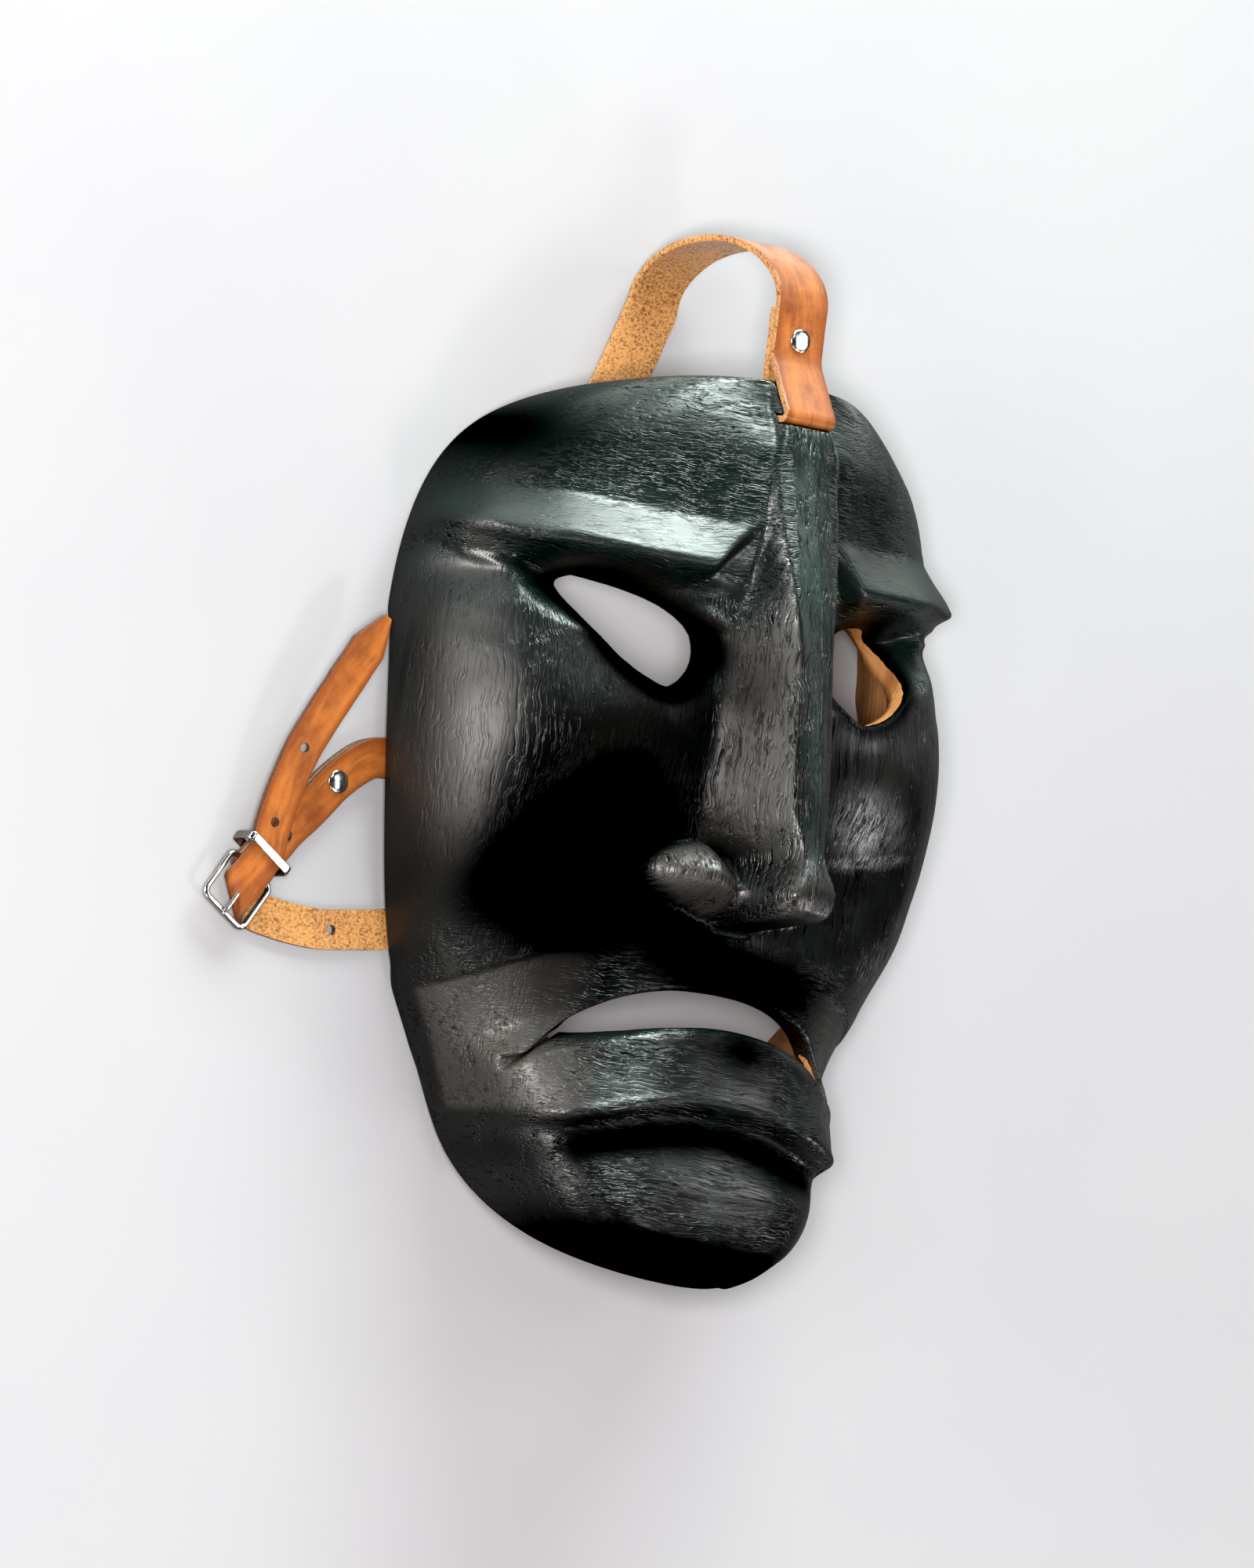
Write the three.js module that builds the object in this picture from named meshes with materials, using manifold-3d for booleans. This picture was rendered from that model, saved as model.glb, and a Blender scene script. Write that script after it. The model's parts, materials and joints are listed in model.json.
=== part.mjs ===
import * as THREE from 'three';
import { mergeVertices } from 'three/addons/utils/BufferGeometryUtils.js';
import Module from 'manifold-3d';

const wasm = await Module();
wasm.setup();

// Driving sizes of the carved shell, in millimetres, face up on the floor
const HALF_WIDTH = 102;
const WIDEST_Y = 48;
const ABOVE_WIDEST = 104;
const BELOW_WIDEST = 196;
const CHIN_HALF = 43;
const JAW_PINCH = 0.09;
const CENTRE_Y = 10;
const TOP_POWER = 2.72;
const TOP_EDGE_Z = 72;
const CHIN_EDGE_Z = 64;
const RIM_ARCH = 7.6;
const FOOT_TOP_Y = 72;
const FOOT_LOW_Y = -70;
const WALL = 8;
const RIM_EXTRA = 2.6;
const MOUTH_HALF = 65;

// Driving sizes of the straps and metal
const LEATHER = 2.2;
const GAP = 0.35;
const SIDE_WIDTH = 13.2;
const TOP_WIDTH = 19.5;
const SLOT_PLAY = 1.4;
const RIVET_HEAD = 3.9;
const RIVET_SHANK = 1.6;
const BAR = 1.05;

// Grid sizes of the carved faces
const OUTER_CELLS = 42;
const INNER_CELLS = 22;
const RIM_STEPS = 1440;

// Profiles down the face: each pair is a height y and the value there
const FRONT = [[152, 75], [138, 79], [120, 81], [104, 80], [88, 80], [70, 81], [50, 81], [20, 79],
  [-10, 75], [-40, 72], [-62, 75], [-85, 78], [-103, 76], [-118, 83], [-131, 84], [-140, 76],
  [-148, 66]];
const BOXINESS = [[150, 3.2], [130, 3.1], [110, 2.6], [80, 2.3], [50, 2.55], [20, 2.8], [-20, 2.9],
  [-45, 2.5], [-80, 2.8], [-105, 4.8], [-125, 6.5], [-148, 5]];
const CREST = [[152, 74], [138.5, 82.6], [124, 88.4], [97.6, 97], [71.2, 104.3], [44.9, 109.4],
  [18.5, 114], [-2.6, 117], [-16, 121.3], [-24, 120], [-29, 114], [-34, 96], [-38, 82], [-44, 72],
  [-60, 60]];
const CREST_HALF = [[152, 8], [138, 7], [125, 3.2], [60, 2.6], [10, 2.6], [-5, 3.5], [-18, 6.5],
  [-27, 6], [-36, 4]];
const NOSE_FOOT = [[152, 11], [138, 10], [110, 8], [85, 11], [60, 15], [30, 17], [8, 19], [0, 24],
  [-8, 33], [-15, 37], [-22, 33], [-30, 22], [-38, 14]];
const EYE = [[59, 79], [45, 78], [31, 72.5], [23.5, 65], [24, 56.5], [31, 48.5], [40, 44.5], [49, 47],
  [59, 54], [65.5, 63], [65.5, 73]];

function ease(low, high, value) {
  const t = Math.min(1, Math.max(0, (value - low) / (high - low)));
  return t * t * (3 - 2 * t);
}

function bell(value, width) {
  return Math.exp(-((value / width) ** 2));
}

function alongProfile(stations, y) {
  const rows = stations;
  const last = rows.length - 1;
  if (y >= rows[0][0]) {
    return rows[0][1];
  }
  if (y <= rows[last][0]) {
    return rows[last][1];
  }
  let i = 0;
  while (rows[i + 1][0] > y) {
    i += 1;
  }
  const slopeAt = (k) => {
    const a = rows[Math.max(0, k - 1)];
    const b = rows[Math.min(last, k + 1)];
    return (b[1] - a[1]) / (b[0] - a[0]);
  };
  const span = rows[i + 1][0] - rows[i][0];
  const t = (y - rows[i][0]) / span;
  const t2 = t * t;
  const t3 = t2 * t;
  return (2 * t3 - 3 * t2 + 1) * rows[i][1] + (t3 - 2 * t2 + t) * span * slopeAt(i)
    + (3 * t2 - 2 * t3) * rows[i + 1][1] + (t3 - t2) * span * slopeAt(i + 1);
}

// The rim: a rounded outline seen from the front, low at the sides and high at forehead and chin
function rimPoint(angle) {
  const across = Math.cos(angle);
  const along = Math.abs(Math.sin(angle));
  const side = Math.sign(across);
  let x;
  let y;
  let lift;
  if (Math.sin(angle) >= 0) {
    const power = 2 / TOP_POWER;
    x = side * HALF_WIDTH * Math.abs(across) ** power;
    y = WIDEST_Y + ABOVE_WIDEST * along ** power;
    lift = TOP_EDGE_Z * along ** (power * 11);
  } else {
    const jaw = HALF_WIDTH * Math.abs(across) * (1 - JAW_PINCH * bell(along - 0.7, 0.15));
    const chin = ease(0.3, 0.7, along) * CHIN_HALF * Math.sqrt(Math.max(0, 1 - along ** 24));
    x = side * (jaw ** 6 + chin ** 6) ** (1 / 6);
    y = WIDEST_Y - BELOW_WIDEST * along;
    lift = CHIN_EDGE_Z * along ** 10.5;
  }
  const middle = (y - (FOOT_TOP_Y + FOOT_LOW_Y) / 2) / ((FOOT_TOP_Y - FOOT_LOW_Y) / 2);
  const arch = RIM_ARCH * (1 - Math.min(1, Math.abs(middle)) ** 2);
  const toFoot = Math.min(Math.abs(y - FOOT_TOP_Y), Math.abs(y - FOOT_LOW_Y));
  const foot = (1 - ease(7, 17, toFoot)) * (1 - ease(4, 12, lift));
  return { x, y, z: (lift + arch) * (1 - foot) };
}

const rim = [];
for (let i = 0; i < RIM_STEPS; i += 1) {
  const p = rimPoint(-Math.PI + (2 * Math.PI * (i + 0.5)) / RIM_STEPS);
  rim.push({ turn: Math.atan2(p.y - CENTRE_Y, p.x), reach: Math.hypot(p.x, p.y - CENTRE_Y), z: p.z });
}
rim.sort((a, b) => a.turn - b.turn);

function rimAt(turn) {
  let low = 0;
  let high = rim.length;
  while (low < high) {
    const half = (low + high) >> 1;
    if (rim[half].turn < turn) {
      low = half + 1;
    } else {
      high = half;
    }
  }
  const b = rim[low % rim.length];
  const a = rim[(low + rim.length - 1) % rim.length];
  const wrap = 2 * Math.PI;
  const span = (b.turn - a.turn + wrap) % wrap;
  const t = ((turn - a.turn + wrap) % wrap) / span;
  return { reach: a.reach + (b.reach - a.reach) * t, z: a.z + (b.z - a.z) * t };
}

const upperLip = (x) => -51.4 - 11.5 * (x / 60) ** 2 - 14.7 * (x / 60) ** 4;
const lowerLip = (x) => -63.4 - 16.8 * (x / 60) ** 2;
const lipFoot = (x) => -90.5 - 20.9 * (x / 60) ** 2 + 9.05 * (x / 60) ** 4;
const browLine = (x) => 86.5 + 6 * (x / 100) ** 2;

// Carving on top of the plain bowl: brows, eye hollows, cheeks, ridge and nose, lips, chin crease
function carve(x, y, plain) {
  const a = Math.abs(x);
  let z = plain;
  let shift = 0;
  const below = browLine(a) - y;
  const brow = below <= 0 ? Math.max(0, 1 + below / 16) ** 1.1 : 1 - ease(0, 11, below);
  z += ease(8, 22, a) * (7.5 + 3 * ease(30, 80, a)) * brow;
  shift += Math.sign(x) * ease(70, 98, a) * 4.5 * bell(-below - 1, 7);
  const lid = below + 0.25 * Math.max(0, a - 40) - 0.3 * Math.max(0, 40 - a);
  const socket = ease(1, 12, below) * (1 - ease(20, 46, lid)) * ease(10, 26, a) * (1 - ease(74, 98, a));
  z -= socket * (6 + 20 * bell(a - 60, 24));
  shift -= Math.sign(x) * 3.5 * ease(80, 95, a) * bell(y - 76, 9);
  z -= 8 * (1 - ease(0.1, 1.15, Math.hypot((a - 50) / 26, (y + 2) / 36)));
  z += 3 * bell(a - 80, 16) * bell(y - 34, 26);
  const half = alongProfile(CREST_HALF, y);
  const out = Math.min(1, Math.max(0, (a - half) / (alongProfile(NOSE_FOOT, y) - half)));
  const flare = 1.05 + 0.45 * (1 - ease(-10, 6, y));
  z += Math.max(0, alongProfile(CREST, y) - z) * (1 - out) ** flare;
  const lip = ease(-4, 5, y - lipFoot(a)) * (1 - ease(-4, 12, y - lowerLip(a)));
  z += lip * (8 + 3 * (a / 60) ** 2) * (1 - ease(64, 82, a));
  const muzzle = (1 - ease(-4, 14, y + 38 + 8 * (a / 60) ** 2)) * ease(-10, 2, y - upperLip(a));
  z += muzzle * 3 * (1 - ease(60, 84, a));
  z -= 3.5 * bell(y - lipFoot(a) + 10, 8) * (1 - ease(60, 80, a));
  return { z, shift };
}

function faceAt(x, y) {
  const edge = rimAt(Math.atan2(y - CENTRE_Y, x));
  const reach = Math.hypot(x, y - CENTRE_Y) / edge.reach;
  if (reach > 1.0001) {
    return null;
  }
  const power = alongProfile(BOXINESS, y);
  const wall = Math.max(0, 1 - Math.min(1, reach) ** power) ** (1 / power);
  const plain = edge.z + (alongProfile(FRONT, y) - edge.z) * wall;
  const cut = carve(x, y, plain);
  const fade = ease(0, 0.45, wall);
  return { z: plain + (cut.z - plain) * fade, shift: cut.shift * fade };
}

// The inner face keeps a ball of the wall thickness away from the outer one
function hollowAt(x, y) {
  const here = faceAt(x, y);
  const wall = WALL + RIM_EXTRA * (1 - ease(10, 60, here ? here.z : 0));
  let low = here ? here.z - wall : 0;
  for (let ring = 1; ring <= 4; ring += 1) {
    const r = (wall * ring) / 4;
    const drop = Math.sqrt(Math.max(0, wall * wall - r * r));
    for (let k = 0; k < 16; k += 1) {
      const turn = (2 * Math.PI * k) / 16;
      const near = faceAt(x + r * Math.cos(turn), y + r * Math.sin(turn));
      if (near) {
        low = Math.min(low, near.z - drop);
      }
    }
  }
  return low;
}

function discPoint(u, v) {
  const a = u * Math.sqrt(1 - (v * v) / 2);
  const b = v * Math.sqrt(1 - (u * u) / 2);
  return { r: Math.min(1, Math.hypot(a, b)), turn: Math.atan2(b, a) };
}

const spread = (r) => r * 1.25 - r ** 5 / 4;

function outerPoint(u, v) {
  const d = discPoint(Math.sign(u) * Math.abs(u) ** 1.2, v);
  const edge = rimAt(d.turn);
  const reach = edge.reach * spread(d.r);
  const x = reach * Math.cos(d.turn);
  const y = CENTRE_Y + reach * Math.sin(d.turn);
  if (d.r > 0.99999) {
    return [x, y, edge.z];
  }
  const p = faceAt(x, y);
  return [x + p.shift, y, p.z];
}

function innerRim(turn) {
  const step = 0.01;
  const edge = rimAt(turn);
  const a = rimAt(turn - step);
  const b = rimAt(turn + step);
  const tx = b.reach * Math.cos(turn + step) - a.reach * Math.cos(turn - step);
  const ty = b.reach * Math.sin(turn + step) - a.reach * Math.sin(turn - step);
  const size = Math.hypot(tx, ty);
  const wall = WALL + RIM_EXTRA * (1 - ease(10, 60, edge.z));
  const x = edge.reach * Math.cos(turn) - (wall * ty) / size;
  const y = CENTRE_Y + edge.reach * Math.sin(turn) + (wall * tx) / size;
  return { x, y, z: edge.z };
}

function innerPoint(u, v) {
  const d = discPoint(u, v);
  const edge = innerRim(d.turn);
  const reach = spread(d.r);
  const x = edge.x * reach;
  const y = CENTRE_Y + (edge.y - CENTRE_Y) * reach;
  if (d.r > 0.99999) {
    return [edge.x, edge.y, edge.z];
  }
  return [x, y, Math.max(edge.z * reach, hollowAt(x, y))];
}

function solidFrom(points, faces) {
  const geometry = new THREE.BufferGeometry();
  geometry.setAttribute('position', new THREE.Float32BufferAttribute(points.flat(), 3));
  geometry.setIndex(faces.flat());
  return toManifold(geometry);
}

function toManifold(geometry) {
  const plain = new THREE.BufferGeometry();
  plain.setAttribute('position', geometry.getAttribute('position').clone());
  if (geometry.index) {
    plain.setIndex(geometry.index.clone());
  }
  const merged = mergeVertices(plain, 1e-4);
  const index = Array.from(merged.index.array);
  const kept = [];
  for (let i = 0; i < index.length; i += 3) {
    const [a, b, c] = [index[i], index[i + 1], index[i + 2]];
    if (a !== b && b !== c && a !== c) {
      kept.push(a, b, c);
    }
  }
  const mesh = new wasm.Mesh({
    numProp: 3,
    vertProperties: Float32Array.from(merged.getAttribute('position').array),
    triVerts: Uint32Array.from(kept),
  });
  return new wasm.Manifold(mesh);
}

function toGeometry(solid) {
  const mesh = solid.getMesh();
  const geometry = new THREE.BufferGeometry();
  const flat = [];
  for (let i = 0; i < mesh.triVerts.length; i += 1) {
    const at = mesh.triVerts[i] * mesh.numProp;
    flat.push(mesh.vertProperties[at], mesh.vertProperties[at + 1], mesh.vertProperties[at + 2]);
  }
  geometry.setAttribute('position', new THREE.Float32BufferAttribute(flat, 3));
  geometry.computeVertexNormals();
  return geometry;
}

// Rows of the grid are pulled onto the crest of the brows and onto the line under the lower lip
function pulled(grid, cells, lineAt, from, to) {
  const row = cells + 1;
  for (let i = 1; i < cells; i += 1) {
    let best = -1;
    let least = 5;
    for (let j = 1; j < cells; j += 1) {
      const p = grid[j * row + i];
      const off = Math.abs(p[1] - lineAt(Math.abs(p[0])));
      if (off < least && Math.abs(p[0]) > from && Math.abs(p[0]) < to) {
        best = j * row + i;
        least = off;
      }
    }
    if (best >= 0) {
      const x = grid[best][0];
      const y = lineAt(Math.abs(x));
      const p = faceAt(x, y);
      grid[best] = p ? [x + p.shift, y, p.z] : grid[best];
    }
  }
}

// A square grid bent onto a face, and the loop of points round its edge
function gridFace(cells, pointAt, flip) {
  const points = [];
  const faces = [];
  const row = cells + 1;
  for (let j = 0; j <= cells; j += 1) {
    for (let i = 0; i <= cells; i += 1) {
      points.push(pointAt((2 * i) / cells - 1, (2 * j) / cells - 1));
    }
  }
  if (!flip) {
    pulled(points, cells, browLine, 12, 96);
    pulled(points, cells, lipFoot, -1, 70);
  }
  const missBy = (p, q) => {
    const at = faceAt((p[0] + q[0]) / 2, (p[1] + q[1]) / 2);
    return at ? Math.abs(at.z - (p[2] + q[2]) / 2) : 0;
  };
  for (let j = 0; j < cells; j += 1) {
    for (let i = 0; i < cells; i += 1) {
      const a = j * row + i;
      const quad = [a, a + 1, a + row + 1, a + row];
      const [p, q, r, t] = quad.map((k) => points[k]);
      const slant = missBy(p, r) <= missBy(q, t);
      const tris = slant ? [[0, 1, 2], [0, 2, 3]] : [[0, 1, 3], [1, 2, 3]];
      for (const tri of tris) {
        const [e, f, g] = tri.map((k) => quad[k]);
        faces.push(flip ? [e, g, f] : [e, f, g]);
      }
    }
  }
  const loop = [];
  for (let i = 0; i < cells; i += 1) {
    loop.push(i);
  }
  for (let j = 0; j < cells; j += 1) {
    loop.push(j * row + cells);
  }
  for (let i = cells; i > 0; i -= 1) {
    loop.push(cells * row + i);
  }
  for (let j = cells; j > 0; j -= 1) {
    loop.push(j * row);
  }
  return { points, faces, loop };
}

function carvedShell() {
  const outer = gridFace(OUTER_CELLS, outerPoint, false);
  const inner = gridFace(INNER_CELLS, innerPoint, true);
  const offset = outer.points.length;
  const points = outer.points.concat(inner.points);
  const faces = outer.faces.concat(inner.faces.map((f) => f.map((k) => k + offset)));
  const m = outer.loop.length;
  const n = inner.loop.length;
  const turnOf = (k) => Math.atan2(points[k][1] - CENTRE_Y, points[k][0]);
  const start = turnOf(outer.loop[0]);
  const progress = (k, at, count) => {
    if (at === count) {
      return 2 * Math.PI;
    }
    const t = (turnOf(k) - start + 4 * Math.PI) % (2 * Math.PI);
    return at < count / 4 && t > Math.PI ? t - 2 * Math.PI : t;
  };
  let i = 0;
  let j = 0;
  while (i < m || j < n) {
    const a = outer.loop[i % m];
    const b = inner.loop[j % n] + offset;
    const nextA = outer.loop[(i + 1) % m];
    const nextB = inner.loop[(j + 1) % n] + offset;
    const goOuter = j >= n || (i < m && progress(nextA, i + 1, m) <= progress(nextB, j + 1, n));
    if (goOuter) {
      faces.push([a, b, nextA]);
      i += 1;
    } else {
      faces.push([a, b, nextB]);
      j += 1;
    }
  }
  return solidFrom(points, faces);
}

// A closed outline cut straight down through the face, wider at the back
function throughCut(outline, flare, low, high) {
  const n = outline.length;
  const centre = outline.reduce((s, p) => [s[0] + p[0] / n, s[1] + p[1] / n], [0, 0]);
  const points = [];
  for (const [z, scale] of [[low, flare], [high, 2 - flare]]) {
    for (const p of outline) {
      points.push([centre[0] + (p[0] - centre[0]) * scale, centre[1] + (p[1] - centre[1]) * scale, z]);
    }
  }
  const faces = [];
  for (let i = 0; i < n; i += 1) {
    const k = (i + 1) % n;
    faces.push([i, k, n + k], [i, n + k, n + i]);
  }
  const flat = outline.map((p) => new THREE.Vector2(p[0], p[1]));
  for (const [a, b, c] of THREE.ShapeUtils.triangulateShape(flat, [])) {
    faces.push([a, c, b], [n + a, n + b, n + c]);
  }
  return solidFrom(points, faces);
}

function eyeOutline(side) {
  const curve = new THREE.CatmullRomCurve3(EYE.map((p) => new THREE.Vector3(p[0], p[1], 0)), true);
  const ring = curve.getPoints(24).slice(0, 24).map((p) => [side * p.x, p.y]);
  const area = ring.reduce((s, p, i) => {
    const q = ring[(i + 1) % ring.length];
    return s + p[0] * q[1] - q[0] * p[1];
  }, 0);
  return area > 0 ? ring : ring.reverse();
}

function mouthOutline() {
  const ring = [];
  const steps = 12;
  for (let i = 0; i <= steps; i += 1) {
    const x = -MOUTH_HALF * Math.cos((Math.PI * i) / steps);
    ring.push([x, Math.min(lowerLip(x), upperLip(x) - 1.5)]);
  }
  for (let i = steps; i >= 0; i -= 1) {
    const x = -MOUTH_HALF * Math.cos((Math.PI * i) / steps);
    ring.push([x, Math.max(upperLip(x), lowerLip(x) + 1.5)]);
  }
  return ring;
}

// Blocks and round bars used for cuts
function block(width, depth, height, place, tilt) {
  const geometry = new THREE.BoxGeometry(width, depth, height);
  if (tilt) {
    geometry.rotateY(tilt);
  }
  geometry.translate(place[0], place[1], place[2]);
  return toManifold(geometry);
}

function pegBetween(from, to, radius, sides) {
  const a = new THREE.Vector3(...from);
  const b = new THREE.Vector3(...to);
  const geometry = new THREE.CylinderGeometry(radius, radius, a.distanceTo(b), sides);
  const along = b.clone().sub(a).normalize();
  geometry.applyQuaternion(new THREE.Quaternion().setFromUnitVectors(new THREE.Vector3(0, 1, 0), along));
  const mid = a.clone().add(b).multiplyScalar(0.5);
  geometry.translate(mid.x, mid.y, mid.z);
  return toManifold(geometry);
}

// A flat strap, a row of sections with a place, a direction across and a direction through the leather
function strapSolid(sections, thickness) {
  const points = [];
  const faces = [];
  for (const s of sections) {
    const across = s.across.clone().normalize().multiplyScalar(s.half);
    const through = s.through.clone().normalize().multiplyScalar(thickness / 2);
    for (const [a, t] of [[-1, -1], [1, -1], [1, 1], [-1, 1]]) {
      const p = s.at.clone().addScaledVector(across, a).addScaledVector(through, t);
      points.push([p.x, p.y, p.z]);
    }
  }
  for (let i = 0; i + 1 < sections.length; i += 1) {
    for (let k = 0; k < 4; k += 1) {
      const a = 4 * i + k;
      const b = 4 * i + ((k + 1) % 4);
      faces.push([a, b + 4, b], [a, a + 4, b + 4]);
    }
  }
  const end = 4 * (sections.length - 1);
  faces.push([0, 1, 2], [0, 2, 3], [end, end + 2, end + 1], [end, end + 3, end + 2]);
  const solid = solidFrom(points, faces);
  return solid.volume() > 0 ? solid : solidFrom(points, faces.map(([a, b, c]) => [a, c, b]));
}

// A path in an upright plane drawn by straight runs and bends; heading 0 is outward, 90 is up
function bentPath(start, heading, moves) {
  const path = [{ h: start[0], z: start[1], turn: heading }];
  let turn = heading;
  for (const [kind, size, angle] of moves) {
    const last = path[path.length - 1];
    if (kind === 'run') {
      const r = THREE.MathUtils.degToRad(turn);
      path.push({ h: last.h + size * Math.cos(r), z: last.z + size * Math.sin(r), turn });
    } else {
      const steps = Math.max(2, Math.ceil(Math.abs(angle) / 30));
      for (let i = 0; i < steps; i += 1) {
        const bend = angle / steps;
        const chord = 2 * size * Math.sin(THREE.MathUtils.degToRad(Math.abs(bend) / 2));
        const r = THREE.MathUtils.degToRad(turn + bend / 2);
        const p = path[path.length - 1];
        turn += bend;
        path.push({ h: p.h + chord * Math.cos(r), z: p.z + chord * Math.sin(r), turn });
      }
    }
  }
  return path;
}

// Lays an upright path along a route on the floor
function laidOut(path, route, half) {
  const length = route.getLength();
  return path.map((p) => {
    const t = Math.min(1, Math.max(0, p.h / length));
    const at = route.getPointAt(t);
    const along = route.getTangentAt(t);
    const past = p.h - t * length;
    const across = new THREE.Vector3(-along.y, along.x, 0);
    const r = THREE.MathUtils.degToRad(p.turn);
    const through = along.clone().multiplyScalar(-Math.sin(r)).setZ(Math.cos(r));
    return { at: at.addScaledVector(along, past).setZ(p.z), across, through, half: p.half ?? half };
  });
}

const v3 = (x, y, z = 0) => new THREE.Vector3(x, y, z);

// Where the strap slots are: the side ones lean inward, the top one goes straight through
const SIDE_Y = 13;
const SIDE_SLOT_LEAN = 22;
const OUTER_WOOD = 3.3;
const LOOP_START = 84;
const SLOT_GAP = LEATHER + SLOT_PLAY;
const TOP_SLOT_Y = 139.2;
const rimSide = rimAt(Math.atan2(SIDE_Y - CENTRE_Y, 100));
const slotH = rimSide.reach - LOOP_START - OUTER_WOOD - SLOT_GAP / 2;
const leanIn = Math.sin(THREE.MathUtils.degToRad(SIDE_SLOT_LEAN));
const leanUp = Math.cos(THREE.MathUtils.degToRad(SIDE_SLOT_LEAN));
const slotPoint = (s) => [slotH - leanIn * s, rimSide.z + leanUp * s];

function sideSlot(side) {
  const [h, z] = slotPoint(8);
  const tilt = THREE.MathUtils.degToRad(-side * SIDE_SLOT_LEAN);
  return block(SLOT_GAP, SIDE_WIDTH + 1.4, 26, [side * (LOOP_START + h), SIDE_Y, z], tilt);
}

let shell = carvedShell();
for (const side of [-1, 1]) {
  shell = shell.subtract(throughCut(eyeOutline(side), 1.12, 5, 130));
  shell = shell.subtract(sideSlot(side));
}
shell = shell.subtract(throughCut(mouthOutline(), 1.04, 5, 130));
shell = shell.subtract(block(TOP_WIDTH + 1.2, SLOT_GAP, 50, [0, TOP_SLOT_Y, 85]));

// Heights of the leather layers: the two of a loop, and one that lies straight on the floor
const LOW = 2.2;
const HIGH = LOW + LEATHER + GAP;
const FLOOR_RUN = GAP + LEATHER / 2;
const LAYER = LEATHER + GAP + 0.3;

// Buckle: its long axis, its two bars and the loop of leather round the near one
const AXIS = THREE.MathUtils.degToRad(58);
const FAR_BAR = v3(-156.2, -47);
const FRAME_LONG = 18;
const FRAME_HALF = 8.7;
const FRAME_CORNER = 1.8;
const BEVEL = 0.4;
const PRONG = 0.8;
const axis = v3(Math.cos(AXIS), Math.sin(AXIS));
const leftOfAxis = v3(-Math.sin(AXIS), Math.cos(AXIS));
const rightOfAxis = leftOfAxis.clone().negate();
const up = v3(0, 0, 1);
const foldRound = BAR + LEATHER / 2 + 0.5;
const frameZ = FLOOR_RUN + LEATHER + GAP + foldRound;
const overZ = frameZ + foldRound + LEATHER + GAP;

function alongBuckle(d, left = 0, z = 0) {
  return FAR_BAR.clone().addScaledVector(axis, d).addScaledVector(leftOfAxis, left).setZ(z);
}

const nearBar = alongBuckle(FRAME_LONG);

// The loop through a side slot: in along the floor, up the inner wall, down the slot and out on top
const CREST_S = 17.5;
const TURN_R = 2;
const FLOOR_BEND_R = 2.5;
const MOUTH_BEND_R = 3.2;
const [crestH, crestZ] = slotPoint(CREST_S);
const innerLeg = crestH - TURN_R * (1 + leanUp);
const topLeg = crestZ - TURN_R * leanIn;

// Left strap: the loop through the left slot, out to the buckle and folded round its near bar
const LEFT_RIVET = 36;
const LEFT_END = 45;
const LEFT_BACK = 26;
const BUCKLE_RIVET_BACK = 17;
const BUCKLE_RIVET_HEAD = 2.4;
const leftRoute = new THREE.CatmullRomCurve3([v3(-84, 13), v3(-94, 13), v3(-104, 11.6), v3(-115, 3.5),
  v3(-126, -9), v3(-136.5, -19.5), alongBuckle(FRAME_LONG + 7), nearBar]);
leftRoute.arcLengthDivisions = 400;
const leftLength = leftRoute.getLength();
const leftRise = (h) => HIGH + (frameZ + foldRound - HIGH) * ease(56, leftLength - 5, h);
const leftUnder = (h) => {
  const close = 1 - ease(0, 8, leftLength - h);
  return Math.max(FLOOR_RUN, leftRise(h) - LAYER - (2 * foldRound - LAYER) * close);
};

function leftLeather() {
  const path = bentPath([LEFT_END, LOW], 180, [
    ['run', LEFT_END - innerLeg - FLOOR_BEND_R],
    ['bend', FLOOR_BEND_R, -90],
    ['run', topLeg - LOW - FLOOR_BEND_R],
    ['bend', TURN_R, SIDE_SLOT_LEAN - 180],
    ['run', (crestZ - HIGH - MOUTH_BEND_R * (1 - leanIn)) / leanUp],
    ['bend', MOUTH_BEND_R, 90 - SIDE_SLOT_LEAN],
  ]);
  for (let h = 19; h < leftLength - 1; h += 5) {
    path.push({ h, z: leftRise(h), turn: slopeAngle(leftRise, h) });
  }
  path.push(...bentPath([leftLength, frameZ + foldRound], 0, [['bend', foldRound, -180]]));
  for (let k = 1; k <= 6; k += 1) {
    const h = leftLength - (LEFT_BACK * k) / 6;
    path.push({ h, z: leftUnder(h), turn: 180 + slopeAngle(leftUnder, h) });
  }
  return strapSolid(laidOut(path, leftRoute, SIDE_WIDTH / 2), LEATHER);
}

function slopeAngle(heightAt, h) {
  return THREE.MathUtils.radToDeg(Math.atan2(heightAt(h + 0.5) - heightAt(h - 0.5), 1));
}

// Rivet: a domed cap in front, a shank and a flat cap behind, and the hole it needs
function rivet(low, high, head) {
  const reach = high.clone().sub(low).normalize();
  const from = low.clone().addScaledVector(reach, -LEATHER / 2 - 0.3);
  const length = from.distanceTo(high) + LEATHER / 2 + 0.3;
  const profile = [[0, -0.7], [head * 0.85, -0.7], [head * 0.85, 0], [RIVET_SHANK, 0],
    [RIVET_SHANK, length], [head, length], [head * 0.82, length + 0.85], [0, length + 1.3]];
  const geometry = new THREE.LatheGeometry(profile.map((p) => new THREE.Vector2(p[0], p[1])), 14);
  geometry.applyQuaternion(new THREE.Quaternion().setFromUnitVectors(v3(0, 1, 0), reach));
  geometry.translate(from.x, from.y, from.z);
  const start = from.clone().addScaledVector(reach, -2).toArray();
  const end = from.clone().addScaledVector(reach, length + 2).toArray();
  return { solid: toManifold(geometry), hole: pegBetween(start, end, RIVET_SHANK + 0.35, 12) };
}

function uprightRivet(at, low, high, head) {
  return rivet(at.clone().setZ(low), at.clone().setZ(high), head);
}

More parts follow.
